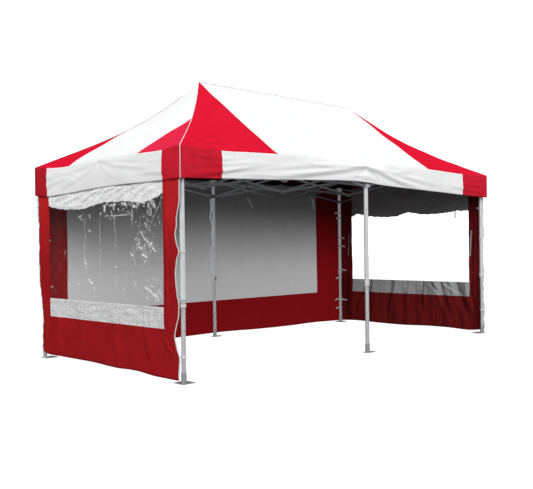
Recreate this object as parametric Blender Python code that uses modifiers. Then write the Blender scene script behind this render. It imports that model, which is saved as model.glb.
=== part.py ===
"""Folding-frame marquee, 3 m by 6 m: six telescopic legs, scissor trusses, two masts, a hipped cloth roof
with a hanging valance, two end walls with clear windows and one plain back wall. The front is open.

Metres, +Z up. The origin is on the ground under the middle of the roof, X runs along the 6 m side and the
open front faces -Y. The solids stand for cloth and thin tube at their true outer size.
"""

import math

import bmesh
import bpy
from mathutils import Matrix, Vector

# Roof cloth
ROOF_HALF_X = 3.0
ROOF_HALF_Y = 1.5
EAVE_Z = 2.43
PEAK_Z = 3.51
RIDGE_HALF = 1.5
VALANCE_BOTTOM = 2.10
HIP_SAG = 0.50
HIP_SKEW = 0.53
SEAM_SAG = 0.04
END_SAG = 0.38
PEAK_TIP = 0.006
CLOTH = 0.006
VALANCE_THICK = 0.004
CORNER_LONG = 0.60
CORNER_SHORT = 0.30
END_RED_EAVE = 0.75
END_RED_HIP = 0.44
SLOPE_ROWS = 8
LONG_COLUMNS = 16
END_COLUMNS = 8
SOFT_ANGLE = math.radians(30)

# Walls
WALL_FACE_X = 2.985
WALL_FACE_Y = 1.485
WALL_THICK = 0.003
WALL_TOP = 2.40
WALL_HEM = 0.03
WALL_SIDE_GAP = 0.003
BACK_RED_SIDE = 0.55
BACK_RED_BOTTOM = 0.55
WINDOW_LOW = 0.78
WINDOW_HIGH = 1.89
WINDOW_HALF = 1.18
BAND_LOW = 0.55
FILM_THICK = 0.001

# Legs, measured across the flats of their hexagons
LEG_X = 2.93
LEG_Y = 1.43
MIDDLE_FRONT_X = 0.08
MIDDLE_BACK_X = -0.065
OUTER_FLATS = 0.050
INNER_FLATS = 0.044
TUBE_WALL = 0.0018
OUTER_BOTTOM = 0.88
OUTER_TOP = 2.37
INNER_OVERLAP = 0.40
COLLAR_FLATS = 0.060
COLLAR_LOW = 0.86
COLLAR_HIGH = 0.93
KNOB_RADIUS = 0.011
KNOB_REACH = 0.048
KNOB_ROOT = 0.002
KNOB_SIDES = 12
BRACKET = 0.079
BRACKET_LOW = 2.352
BRACKET_HIGH = 2.408
SLIDER_LOW = 2.135
SLIDER_HIGH = 2.185
FOOT_OUT = 0.040
FOOT_IN = 0.115
FOOT_THICK = 0.008
FOOT_SLEEVE_FLATS = 0.052
FOOT_SLEEVE_TOP = 0.118
BORE_CLEARANCE = 0.0012
BORE_PAST = 0.01

# Scissor trusses
BAR_HEIGHT = 0.028
BAR_THICK = 0.010
BAR_OFFSET = 0.004
PIVOT_HIGH = 2.385
PIVOT_LOW = 2.160
HUB = 0.050
BAR_END_GAP = 0.003

# Masts
MAST_RADIUS = 0.0175
MAST_TOP = 3.465
MAST_CAP_RADIUS = 0.030
MAST_CAP_HEIGHT = 0.030
MAST_SIDES = 12
MAST_IN_CAP = 0.005

GAP = 0.0003

WHITE_CLOTH = ("white_cloth", (0.86, 0.87, 0.88), 0.55, 0.0)
RED_CLOTH = ("red_cloth", (0.60, 0.012, 0.030), 0.55, 0.0)
CLEAR_FILM = ("clear_film", (0.80, 0.82, 0.82), 0.12, 0.0)
ALUMINIUM = ("aluminium", (0.78, 0.79, 0.80), 0.35, 0.9)
STEEL_FOOT = ("steel_foot", (0.55, 0.56, 0.57), 0.45, 0.9)
BRACKET_PLASTIC = ("bracket_plastic", (0.70, 0.71, 0.72), 0.50, 0.0)


def clear_scene():
    """Removes whatever the file holds, so that the marquee stands alone."""
    for item in list(bpy.data.objects):
        bpy.data.objects.remove(item, do_unlink=True)


def new_collection(name):
    """A collection linked to the scene."""
    found = bpy.data.collections.new(name)
    bpy.context.scene.collection.children.link(found)
    return found


def material(finish):
    """The Principled material of a finish, made once."""
    name, colour, roughness, metallic = finish
    found = bpy.data.materials.get(name)
    if found is None:
        found = bpy.data.materials.new(name)
        found.use_nodes = True
        shader = found.node_tree.nodes["Principled BSDF"]
        shader.inputs["Base Color"].default_value = (*colour, 1.0)
        shader.inputs["Roughness"].default_value = roughness
        shader.inputs["Metallic"].default_value = metallic
        found.diffuse_color = (*colour, 1.0)
    return found


def object_from(bm, name, collection, *finishes):
    """Turns a bmesh into a named object of the collection, with its materials."""
    bmesh.ops.recalc_face_normals(bm, faces=bm.faces[:])
    mesh = bpy.data.meshes.new(name)
    bm.to_mesh(mesh)
    bm.free()
    for finish in finishes:
        mesh.materials.append(material(finish))
    made = bpy.data.objects.new(name, mesh)
    collection.objects.link(made)
    return made


def thicken(bm, shift):
    """Makes a closed plate of an open sheet by copying it along a vector."""
    grown = bmesh.ops.extrude_face_region(bm, geom=bm.faces[:], use_keep_orig=True)
    moved = [item for item in grown["geom"] if isinstance(item, bmesh.types.BMVert)]
    bmesh.ops.translate(bm, vec=shift, verts=moved)


def box(name, collection, low, high, finish):
    """A block between two corners."""
    low, high = Vector(low), Vector(high)
    bm = bmesh.new()
    size = high - low
    place = Matrix.Translation((low + high) / 2) @ Matrix.Diagonal((*size, 1.0))
    bmesh.ops.create_cube(bm, size=1.0, matrix=place)
    return object_from(bm, name, collection, finish)


def prism(name, collection, sides, radius, low, high, finish, capped=True):
    """An upright prism about its own origin, with a corner on +X."""
    bm = bmesh.new()
    bmesh.ops.create_cone(bm, cap_ends=capped, segments=sides, radius1=radius, radius2=radius,
                          depth=high - low, matrix=Matrix.Translation((0, 0, (low + high) / 2)))
    turn = -math.atan2(bm.verts[:][0].co.y, bm.verts[:][0].co.x)
    bmesh.ops.rotate(bm, cent=(0, 0, 0), matrix=Matrix.Rotation(turn, 3, "Z"), verts=bm.verts[:])
    return object_from(bm, name, collection, finish)


def hexagon(name, collection, flats, low, high, finish, capped=True):
    """A six-sided prism by its width across the flats."""
    return prism(name, collection, 6, flats / 2 / math.cos(math.pi / 6), low, high, finish, capped)


def bake(item):
    """Replaces an object's mesh by its evaluated one."""
    graph = bpy.context.evaluated_depsgraph_get()
    mesh = bpy.data.meshes.new_from_object(item.evaluated_get(graph))
    item.modifiers.clear()
    item.data = mesh


def combine(base, others, operation):
    """Joins helpers to a base object, or cuts them out of it, and removes them."""
    for other in others:
        step = base.modifiers.new(other.name, "BOOLEAN")
        step.operation = operation
        step.solver = "EXACT"
        step.object = other
    bake(base)
    for other in others:
        bpy.data.objects.remove(other, do_unlink=True)
    return base


def roof_height(fall, flat_sag, toward_hip):
    """Height of the cloth at a fraction of the way from the ridge out to the eave.

    toward_hip is 0 where the slope is nearly flat, with flat_sag, and 1 on the hip, which hangs more and
    mostly in its upper half.
    """
    sag = flat_sag + (HIP_SAG - flat_sag) * toward_hip ** 2
    hang = sag * fall * (1 - fall) * (1 + HIP_SKEW * (1 - 2 * fall))
    return PEAK_Z - (PEAK_Z - EAVE_Z) * (fall + hang)


def finish_slope(bm, name, collection):
    """Thickens a slope downwards and makes its object."""
    thicken(bm, (0, 0, -CLOTH))
    made = object_from(bm, name, collection, WHITE_CLOTH, RED_CLOTH)
    made.data.shade_smooth()
    made.data.set_sharp_from_angle(angle=SOFT_ANGLE)
    return made


def long_slope(name, collection, side):
    """The front or back slope: a white rectangle under the ridge, and a red gore outside each mast."""
    bm = bmesh.new()
    bmesh.ops.create_grid(bm, x_segments=LONG_COLUMNS, y_segments=SLOPE_ROWS, size=1.0)
    run = ROOF_HALF_X - RIDGE_HALF
    for vert in bm.verts:
        along, fall = vert.co.x, (1 - vert.co.y) / 2
        # The inner half of the columns lies between the masts and the outer ones fan out in the gores.
        inside = min(abs(along), 0.5) * 2
        outside = max(abs(along) - 0.5, 0.0) * 2
        x = math.copysign(inside * RIDGE_HALF + outside * max(run * fall - GAP, 0.0), along)
        y = side * max(ROOF_HALF_Y * fall, GAP / 2)
        vert.co = (x, y, roof_height(fall, SEAM_SAG, outside))
    bmesh.ops.remove_doubles(bm, verts=bm.verts[:], dist=GAP / 3)
    for face in bm.faces:
        face.material_index = int(abs(face.calc_center_median().x) > RIDGE_HALF)
    return finish_slope(bm, name, collection)


def end_slope(name, collection, side):
    """An end slope: white up to the peak, red in its two lower corners."""
    bm = bmesh.new()
    bmesh.ops.create_grid(bm, x_segments=END_COLUMNS, y_segments=SLOPE_ROWS, size=1.0)
    for vert in bm.verts:
        across = vert.co.x
        fall = PEAK_TIP + (1 - PEAK_TIP) * (1 - vert.co.y) / 2
        half = ROOF_HALF_Y * fall - GAP
        x = side * (RIDGE_HALF + (ROOF_HALF_X - RIDGE_HALF) * fall)
        vert.co = (x, across * half, roof_height(fall, END_SAG, abs(across)))
    hip_x = RIDGE_HALF + (ROOF_HALF_X - RIDGE_HALF) * END_RED_HIP
    hip_y = ROOF_HALF_Y * END_RED_HIP
    for way in (-1, 1):
        seam = Vector((side * (ROOF_HALF_X - hip_x), way * (END_RED_EAVE - hip_y), 0))
        normal = Vector((-seam.y, seam.x, 0)).normalized()
        bmesh.ops.bisect_plane(bm, geom=bm.verts[:] + bm.edges[:] + bm.faces[:], dist=GAP / 3,
                               plane_co=(side * hip_x, way * hip_y, 0), plane_no=normal)
    for face in bm.faces:
        centre = face.calc_center_median()
        down = (abs(centre.x) - hip_x) / (ROOF_HALF_X - hip_x)
        face.material_index = int(abs(centre.y) > hip_y + (END_RED_EAVE - hip_y) * down)
    return finish_slope(bm, name, collection)


def sheet_panel(name, collection, lines, levels, red, place, thick, hole=None):
    """A flat upright sheet cut along lines and levels, coloured cell by cell.

    lines and levels are the sorted places of the cuts, red says whether a cell's centre is red, hole
    whether a cell is left out. The sheet is drawn in X and Z, thickened towards +Y and then placed.
    """
    bm = bmesh.new()
    bmesh.ops.create_grid(bm, x_segments=len(lines) - 1, y_segments=len(levels) - 1, size=1.0)
    for vert in bm.verts:
        column = round((vert.co.x + 1) / 2 * (len(lines) - 1))
        row = round((vert.co.y + 1) / 2 * (len(levels) - 1))
        vert.co = (lines[column], 0, levels[row])
    if hole:
        gone = [face for face in bm.faces if hole(*face.calc_center_median().xz)]
        bmesh.ops.delete(bm, geom=gone, context="FACES")
    for face in bm.faces:
        face.material_index = int(red(*face.calc_center_median().xz))
    thicken(bm, (0, thick, 0))
    bmesh.ops.transform(bm, matrix=place, verts=bm.verts[:])
    return object_from(bm, name, collection, WHITE_CLOTH, RED_CLOTH)


def end_place(side, face_x):
    """Stands a sheet drawn in X and Z in the plane of an end, its outer face at face_x."""
    turn = Matrix.Rotation(side * math.pi / 2, 4, "Z")
    return Matrix.Translation((side * face_x, 0, 0)) @ turn


def valances(collection):
    """The four hanging valances with their red corners."""
    top = EAVE_Z - CLOTH - 2 * GAP
    levels = [VALANCE_BOTTOM, top]
    long_seam = ROOF_HALF_X - CORNER_LONG
    lines = [-ROOF_HALF_X, -long_seam, long_seam, ROOF_HALF_X]
    for name, side in (("valance_front", -1), ("valance_back", 1)):
        place = Matrix.Translation((0, side * ROOF_HALF_Y, 0))
        sheet_panel(name, collection, lines, levels, lambda x, z: abs(x) > long_seam, place,
                    -side * VALANCE_THICK)
    half = ROOF_HALF_Y - VALANCE_THICK - GAP
    short_seam = ROOF_HALF_Y - CORNER_SHORT
    lines = [-half, -short_seam, short_seam, half]
    for name, side in (("valance_left", -1), ("valance_right", 1)):
        sheet_panel(name, collection, lines, levels, lambda x, z: abs(x) > short_seam,
                    end_place(side, ROOF_HALF_X), VALANCE_THICK)


def walls(collection):
    """The plain back wall and the two end walls with their clear windows."""
    half = WALL_FACE_X
    seam = half - BACK_RED_SIDE
    sheet_panel("back_wall", collection, [-half, -seam, seam, half], [WALL_HEM, BACK_RED_BOTTOM, WALL_TOP],
                lambda x, z: abs(x) > seam or z < BACK_RED_BOTTOM,
                Matrix.Translation((0, WALL_FACE_Y, 0)), -WALL_THICK)
    reach = WALL_FACE_Y - WALL_THICK - WALL_SIDE_GAP
    lines = [-reach, -WINDOW_HALF, WINDOW_HALF, reach]
    levels = [WALL_HEM, BAND_LOW, WINDOW_LOW, WINDOW_HIGH, WALL_TOP]
    for name, film, side in (("left_wall", "left_window", -1), ("right_wall", "right_window", 1)):
        sheet_panel(name, collection, lines, levels,
                    lambda x, z: abs(x) > WINDOW_HALF or z < BAND_LOW, end_place(side, WALL_FACE_X),
                    WALL_THICK, lambda x, z: abs(x) < WINDOW_HALF and WINDOW_LOW < z < WINDOW_HIGH)
        middle = WALL_FACE_X - WALL_THICK / 2
        ends = sorted((side * (middle - FILM_THICK / 2), side * (middle + FILM_THICK / 2)))
        box(film, collection, (ends[0], -WINDOW_HALF + GAP, WINDOW_LOW + GAP),
            (ends[1], WINDOW_HALF - GAP, WINDOW_HIGH - GAP), CLEAR_FILM)


def outer_leg(name, collection, helpers, inward):
    """The upper tube with its top bracket, its bottom collar and the locking knob.

    inward is the sign of the direction along Y into the tent, where the knob stands.
    """
    tube = hexagon(name, collection, OUTER_FLATS, OUTER_BOTTOM, OUTER_TOP, ALUMINIUM, capped=False)
    shell = tube.modifiers.new("tube wall", "SOLIDIFY")
    shell.thickness = TUBE_WALL
    shell.offset = -1
    shell.use_even_offset = True
    bake(tube)
    bracket = box("bracket", helpers, (-BRACKET / 2, -BRACKET / 2, BRACKET_LOW),
                  (BRACKET / 2, BRACKET / 2, BRACKET_HIGH), ALUMINIUM)
    collar = hexagon("collar", helpers, COLLAR_FLATS, COLLAR_LOW, COLLAR_HIGH, ALUMINIUM, capped=False)
    sleeve = collar.modifiers.new("collar wall", "SOLIDIFY")
    sleeve.thickness = (COLLAR_FLATS - OUTER_FLATS) / 2 + TUBE_WALL / 2
    sleeve.offset = -1
    sleeve.use_even_offset = True
    bake(collar)
    knob = prism("knob", helpers, KNOB_SIDES, KNOB_RADIUS, COLLAR_FLATS / 2 - KNOB_ROOT, KNOB_REACH,
                 ALUMINIUM)
    lay = Matrix.Rotation(math.pi / 2 * -inward, 4, "X")
    knob.data.transform(Matrix.Translation((0, 0, (COLLAR_LOW + COLLAR_HIGH) / 2)) @ lay)
    return combine(tube, [bracket, collar, knob], "UNION")


def inner_leg(name, collection, helpers, low, high):
    """The lower tube, open at its top, on its sleeve and foot plate between two plan corners."""
    tube = hexagon(name, collection, INNER_FLATS, FOOT_THICK / 2, OUTER_BOTTOM + INNER_OVERLAP, ALUMINIUM,
                   capped=False)
    shell = tube.modifiers.new("tube wall", "SOLIDIFY")
    shell.thickness = TUBE_WALL
    shell.offset = -1
    shell.use_even_offset = True
    bake(tube)
    plate = box("plate", helpers, (*low, 0), (*high, FOOT_THICK), STEEL_FOOT)
    sleeve = hexagon("sleeve", helpers, FOOT_SLEEVE_FLATS, FOOT_THICK / 2, FOOT_SLEEVE_TOP, STEEL_FOOT)
    return combine(tube, [plate, sleeve], "UNION")


def slider(name, collection, helpers):
    """The block that rides on the upper tube and carries the lower ends of the scissor bars."""
    block = box(name, collection, (-BRACKET / 2, -BRACKET / 2, SLIDER_LOW),
                (BRACKET / 2, BRACKET / 2, SLIDER_HIGH), BRACKET_PLASTIC)
    bore = hexagon("bore", helpers, OUTER_FLATS + BORE_CLEARANCE, SLIDER_LOW - BORE_PAST,
                   SLIDER_HIGH + BORE_PAST, BRACKET_PLASTIC)
    return combine(block, [bore], "DIFFERENCE")


def legs(collection, helpers):
    """Six telescopic legs, each of an outer tube, a slider and an inner tube on its foot."""
    for row, side_y, middle_x in (("front", -1, MIDDLE_FRONT_X), ("back", 1, MIDDLE_BACK_X)):
        for column, side_x in (("left", -1), ("middle", 0), ("right", 1)):
            where = Vector((side_x * LEG_X if side_x else middle_x, side_y * LEG_Y, 0))
            spot = f"{row}_{column}"
            # A corner's plate reaches in both ways towards the tent, a middle one along the wall.
            spans = [(-FOOT_OUT, FOOT_IN), (-FOOT_OUT, FOOT_IN if side_x else FOOT_OUT)]
            if side_x > 0:
                spans[0] = (-FOOT_IN, FOOT_OUT)
            if side_y > 0:
                spans[1] = (-spans[1][1], FOOT_OUT)
            low = [span[0] for span in spans]
            high = [span[1] for span in spans]
            for made in (outer_leg(f"outer_leg_{spot}", collection, helpers, -side_y),
                         slider(f"slider_{spot}", collection, helpers),
                         inner_leg(f"inner_leg_{spot}", collection, helpers, low, high)):
                made.location = where


def bar(name, collection, start, end, offset):
    """A flat scissor bar in the X-Z plane between two pivots, moved sideways by its offset."""
    start, end = Vector(start), Vector(end)
    run = end - start
    tilt = Matrix.Rotation(-math.atan2(run.z, run.x), 4, "Y")
    bm = bmesh.new()
    size = Matrix.Diagonal((run.length, BAR_THICK, BAR_HEIGHT, 1.0))
    place = Matrix.Translation((start + end) / 2 + Vector((0, offset, 0)))
    bmesh.ops.create_cube(bm, size=1.0, matrix=place @ tilt @ size)
    return object_from(bm, name, collection, ALUMINIUM)


def crossed_bars(helpers, begin, finish, mirrored):
    """The two bars of one X between two stations along a truss."""
    side = -1 if mirrored else 1
    return [bar("falling", helpers, (begin, 0, PIVOT_HIGH), (finish, 0, PIVOT_LOW), side * BAR_OFFSET),
            bar("rising", helpers, (begin, 0, PIVOT_LOW), (finish, 0, PIVOT_HIGH), -side * BAR_OFFSET)]


def truss(name, collection, helpers, start, end, start_block, end_block, bays):
    """A scissor truss between two plan points: two X bays about a pair of hubs, or one X.

    start_block and end_block are the widths of the blocks that it ends against.
    """
    start, end = Vector(start), Vector(end)
    length = (end - start).length
    begin = start_block / 2 + GAP + BAR_END_GAP
    finish = length - end_block / 2 - GAP - BAR_END_GAP
    if bays == 2:
        middle = length / 2
        bars = crossed_bars(helpers, begin, middle, False) + crossed_bars(helpers, middle, finish, True)
        for level in (PIVOT_HIGH, PIVOT_LOW):
            bars.append(box("hub", helpers, (middle - HUB / 2, -HUB / 2, level - HUB / 2),
                            (middle + HUB / 2, HUB / 2, level + HUB / 2), ALUMINIUM))
    else:
        bars = crossed_bars(helpers, begin, finish, False)
    base = bars[0]
    base.name = name
    helpers.objects.unlink(base)
    collection.objects.link(base)
    combine(base, bars[1:], "UNION")
    run = end - start
    base.matrix_world = Matrix.Translation((*start, 0)) @ Matrix.Rotation(math.atan2(run.y, run.x), 4, "Z")
    return base


def trusses(collection, helpers):
    """The trusses round the eave, the ones across the middle and the stars about the masts."""
    centre = Vector(((MIDDLE_FRONT_X + MIDDLE_BACK_X) / 2, 0))
    for row, y, middle_x in (("front", -LEG_Y, MIDDLE_FRONT_X), ("back", LEG_Y, MIDDLE_BACK_X)):
        for name, side in (("left", -1), ("right", 1)):
            corner, middle = Vector((side * LEG_X, y)), Vector((middle_x, y))
            truss(f"truss_{row}_{name}", collection, helpers, corner, middle, BRACKET, BRACKET, 2)
            truss(f"truss_{name}_{row}_link", collection, helpers, mast_place(side), (corner + middle) / 2,
                  HUB, HUB, 1)
    for name, front_x, back_x in (("left_end", -LEG_X, -LEG_X), ("middle", MIDDLE_FRONT_X, MIDDLE_BACK_X),
                                  ("right_end", LEG_X, LEG_X)):
        truss(f"truss_{name}", collection, helpers, (front_x, -LEG_Y), (back_x, LEG_Y), BRACKET, BRACKET, 2)
    for name, side in (("left", -1), ("right", 1)):
        truss(f"truss_centre_{name}", collection, helpers, (side * LEG_X, 0), centre, HUB, HUB, 2)


def mast_place(side):
    """The plan point of a mast, on the hub halfway along its centre truss."""
    return Vector(((side * LEG_X + (MIDDLE_FRONT_X + MIDDLE_BACK_X) / 2) / 2, 0))


def masts(collection, helpers):
    """Two masts that stand on the centre hubs and push the peaks up."""
    foot = PIVOT_HIGH + HUB / 2 + GAP
    for name, side in (("mast_left", -1), ("mast_right", 1)):
        mast = prism(name, collection, MAST_SIDES, MAST_RADIUS, foot, MAST_TOP - MAST_IN_CAP, ALUMINIUM)
        cap = prism("cap", helpers, MAST_SIDES, MAST_CAP_RADIUS, MAST_TOP - MAST_CAP_HEIGHT, MAST_TOP,
                    ALUMINIUM)
        combine(mast, [cap], "UNION")
        mast.location = (*mast_place(side), 0)
        mast.data.shade_smooth()
        mast.data.set_sharp_from_angle(angle=SOFT_ANGLE)


def main():
    """Builds the marquee."""
    clear_scene()
    marquee = new_collection("marquee_tent")
    helpers = new_collection("helpers")
    helpers.hide_render = True
    legs(marquee, helpers)
    trusses(marquee, helpers)
    masts(marquee, helpers)
    for name, side in (("roof_front", -1), ("roof_back", 1)):
        long_slope(name, marquee, side)
    for name, side in (("roof_left", -1), ("roof_right", 1)):
        end_slope(name, marquee, side)
    valances(marquee)
    walls(marquee)


main()
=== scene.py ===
"""Looks of a folding-frame marquee: red and white coated cloth over an aluminium scissor frame.

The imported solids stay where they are. The roof cover with its valance, the walls and their clear windows
are creased sheets that stand for the plain solids, the metal solids keep their shape and get their finish,
and straps, tapes, piping and rivets are added. Metres, +Z up, the open front faces -Y.
"""

import logging
import math
from dataclasses import dataclass, field
from enum import Enum
from typing import Any, Callable, Iterable, Mapping, Sequence

import bmesh
import bpy
import numpy as np
from mathutils import Matrix, Vector


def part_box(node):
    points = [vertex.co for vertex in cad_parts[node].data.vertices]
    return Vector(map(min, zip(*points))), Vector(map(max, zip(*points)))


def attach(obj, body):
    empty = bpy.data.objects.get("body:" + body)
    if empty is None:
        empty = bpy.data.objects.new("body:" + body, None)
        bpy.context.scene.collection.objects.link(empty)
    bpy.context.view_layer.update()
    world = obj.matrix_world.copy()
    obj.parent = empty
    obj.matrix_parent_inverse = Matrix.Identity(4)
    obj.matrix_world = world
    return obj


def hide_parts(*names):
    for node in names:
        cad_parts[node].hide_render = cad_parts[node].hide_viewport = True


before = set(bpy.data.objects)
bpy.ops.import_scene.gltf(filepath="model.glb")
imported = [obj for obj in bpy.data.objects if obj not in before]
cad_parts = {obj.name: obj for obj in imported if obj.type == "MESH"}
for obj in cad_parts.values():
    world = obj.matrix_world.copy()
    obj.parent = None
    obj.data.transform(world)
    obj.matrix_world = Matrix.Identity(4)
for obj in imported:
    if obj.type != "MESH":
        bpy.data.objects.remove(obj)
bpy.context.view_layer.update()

log = logging.getLogger("marquee")

Colour = tuple[float, float, float, float]
Point = tuple[float, float]
Triple = tuple[float, float, float]
Array = np.ndarray

BODY = "marquee"

# Daylight comes into the tent low, under the open front's valance and through the left window.
DAYLIGHT_FROM: Triple = (-0.62, -0.74, 0.26)
BLACK: Colour = (0.0, 0.0, 0.0, 1.0)
HOLLOW_SHADE: Colour = (0.22, 0.22, 0.23, 1.0)
WELDS_A_METRE = 2e4
TINY = 1e-6


def srgb(red: float, green: float, blue: float) -> Colour:
    """A colour given in screen values from 0 to 255, as linear light."""
    linear = [((v / 255 + 0.055) / 1.055) ** 2.4 if v > 10 else v / 255 / 12.92 for v in (red, green, blue)]
    return (linear[0], linear[1], linear[2], 1.0)


def grey(light: float) -> Colour:
    """A grey of some linear light."""
    return (light, light, light, 1.0)


def darker(colour: Colour, share: float) -> Colour:
    """A colour with only a share of its light."""
    return (colour[0] * share, colour[1] * share, colour[2] * share, 1.0)


def smooth(value: Array) -> Array:
    """Smooth step from 0 to 1 of values clipped to that range."""
    held = np.clip(value, 0.0, 1.0)
    return held * held * (3 - 2 * held)


class Wire:
    """A value in a material's node tree that takes part in arithmetic."""

    def __init__(self, tree: bpy.types.NodeTree, socket: bpy.types.NodeSocket) -> None:
        """Keeps the socket and the tree that it belongs to."""
        self.tree = tree
        self.socket = socket

    def calc(self, operation: str, *values: Any) -> "Wire":
        """A Math node on some values.

        Args:
            operation: The Math node's operation.
            values: Numbers or wires for its sockets, in order.

        Returns:
            The node's result.
        """
        node = self.tree.nodes.new("ShaderNodeMath")
        node.operation = operation
        for socket, value in zip(node.inputs, values):
            plug(self.tree, socket, value)
        return Wire(self.tree, node.outputs[0])

    def __add__(self, other: Any) -> "Wire":
        """Sum."""
        return self.calc("ADD", self, other)

    def __radd__(self, other: Any) -> "Wire":
        """Sum, from the right."""
        return self.calc("ADD", other, self)

    def __sub__(self, other: Any) -> "Wire":
        """Difference."""
        return self.calc("SUBTRACT", self, other)

    def __rsub__(self, other: Any) -> "Wire":
        """Difference, from the right."""
        return self.calc("SUBTRACT", other, self)

    def __mul__(self, other: Any) -> "Wire":
        """Product."""
        return self.calc("MULTIPLY", self, other)

    def __rmul__(self, other: Any) -> "Wire":
        """Product, from the right."""
        return self.calc("MULTIPLY", other, self)

    def __truediv__(self, other: Any) -> "Wire":
        """Quotient."""
        return self.calc("DIVIDE", self, other)

    def __rtruediv__(self, other: Any) -> "Wire":
        """Quotient, from the right."""
        return self.calc("DIVIDE", other, self)

    def __lt__(self, other: Any) -> "Wire":
        """1 where this value is less than the other, else 0."""
        return self.calc("LESS_THAN", self, other)

    def __gt__(self, other: Any) -> "Wire":
        """1 where this value is more than the other, else 0."""
        return self.calc("GREATER_THAN", self, other)

    def __abs__(self) -> "Wire":
        """Absolute value."""
        return self.calc("ABSOLUTE", self)

    def sine(self) -> "Wire":
        """Sine of a value in radians."""
        return self.calc("SINE", self)

    def near(self, centre: float, reach: float) -> "Wire":
        """1 at a value, falling to 0 at a distance from it."""
        return self.calc("MAXIMUM", 1 - abs(self - centre) / reach, 0.0)

    def held(self) -> "Wire":
        """The value clipped to 0 and 1."""
        return self.calc("MINIMUM", self.calc("MAXIMUM", self, 0.0), 1.0)


def plug(tree: bpy.types.NodeTree, socket: bpy.types.NodeSocket, value: Any) -> None:
    """Gives a socket a link or a fixed value.

    Args:
        tree: The socket's node tree.
        socket: The socket.
        value: A wire, or a number, colour or vector.
    """
    if isinstance(value, Wire):
        tree.links.new(value.socket, socket)
    else:
        socket.default_value = value


class Recipe:
    """A node tree with one method that adds any node to it."""

    def __init__(self, name: str) -> None:
        """Starts a material that has only its Principled shader and its output.

        Args:
            name: The material's name.
        """
        self.material = bpy.data.materials.new(name)
        self.material.use_nodes = True
        self.tree = self.material.node_tree
        self.shader = self.tree.nodes["Principled BSDF"]

    def node(self, kind: str, settings: Mapping[str, Any], sockets: Mapping[Any, Any], out: Any = 0) -> Wire:
        """Adds a node.

        Args:
            kind: The node's type, without its leading ShaderNode.
            settings: The node's own properties, set first. A ramp's stops are given as stops.
            sockets: Values or wires for its sockets, by name or number.
            out: The output that is wanted.

        Returns:
            The wanted output.
        """
        node = self.tree.nodes.new("ShaderNode" + kind)
        for key, value in settings.items():
            if key == "stops":
                ramp = node.color_ramp.elements
                while len(ramp) < len(value):
                    ramp.new(0.5)
                for stop, (position, colour) in zip(ramp, value):
                    stop.position = position
                    stop.color = colour
            else:
                setattr(node, key, value)
        for key, value in sockets.items():
            plug(self.tree, node.inputs[key], value)
        return Wire(self.tree, node.outputs[out])

    def place(self) -> Wire:
        """The point on the object, in metres."""
        return self.node("TexCoord", {}, {}, "Object")

    def axes(self) -> tuple[Wire, Wire, Wire]:
        """The point on the object as its three coordinates."""
        place = self.place()
        return tuple(self.node("SeparateXYZ", {}, {0: place}, axis) for axis in range(3))

    def noise(self, scale: float, detail: float = 3.0, squeeze: Triple = (1, 1, 1)) -> Wire:
        """Soft noise with a number of lumps a metre, squeezed along some axes."""
        spread = self.node("VectorMath", {"operation": "MULTIPLY"}, {0: self.place(), 1: squeeze})
        return self.node("TexNoise", {}, {"Vector": spread, "Scale": scale, "Detail": detail}, "Fac")

    def blend(self, factor: Any, low: Any, high: Any) -> Wire:
        """A colour between two colours."""
        return self.node("Mix", {"data_type": "RGBA"}, {0: factor, 6: low, 7: high}, 2)

    def downward(self, height: Wire, top: float, run: float) -> Wire:
        """0 above a height, rising smoothly to 1 over a run below it."""
        return self.node("MapRange", {"interpolation_type": "SMOOTHSTEP"},
                         {"Value": height, "From Min": top, "From Max": top - run})

    def toward(self, way: Triple) -> Wire:
        """1 where the surface looks along a way in the world, 0 where it looks across it or away."""
        normal = self.node("NewGeometry", {}, {}, "Normal")
        return self.node("VectorMath", {"operation": "DOT_PRODUCT"}, {0: normal, 1: way}, "Value").held()

    def mark(self, name: str) -> Wire:
        """A value kept on the mesh's points."""
        return self.node("Attribute", {"attribute_name": name}, {}, "Fac")

    def bump(self, height: Wire, depth: float, under: Wire | None = None) -> Wire:
        """Adds a relief.

        Args:
            height: Its form, from 0 to 1.
            depth: Its depth in metres.
            under: Another relief that it lies on.

        Returns:
            The relief, for a Normal socket.
        """
        sockets = {"Height": height, "Distance": depth, "Strength": 1.0}
        if under is not None:
            sockets["Normal"] = under
        return self.node("Bump", {}, sockets)

    def glow(self, share: Wire | float, colour: Wire | Colour) -> None:
        """Lets the surface shine with a share of a colour."""
        self.dress({"Emission Color": self.blend(share, BLACK, colour), "Emission Strength": 1.0})

    def dress(self, sockets: Mapping[str, Any]) -> bpy.types.Material:
        """Gives the Principled shader its values and links.

        Args:
            sockets: A value or a wire for each input.

        Returns:
            The material.
        """
        for key, value in sockets.items():
            plug(self.tree, self.shader.inputs[key], value)
        return self.material


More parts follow.
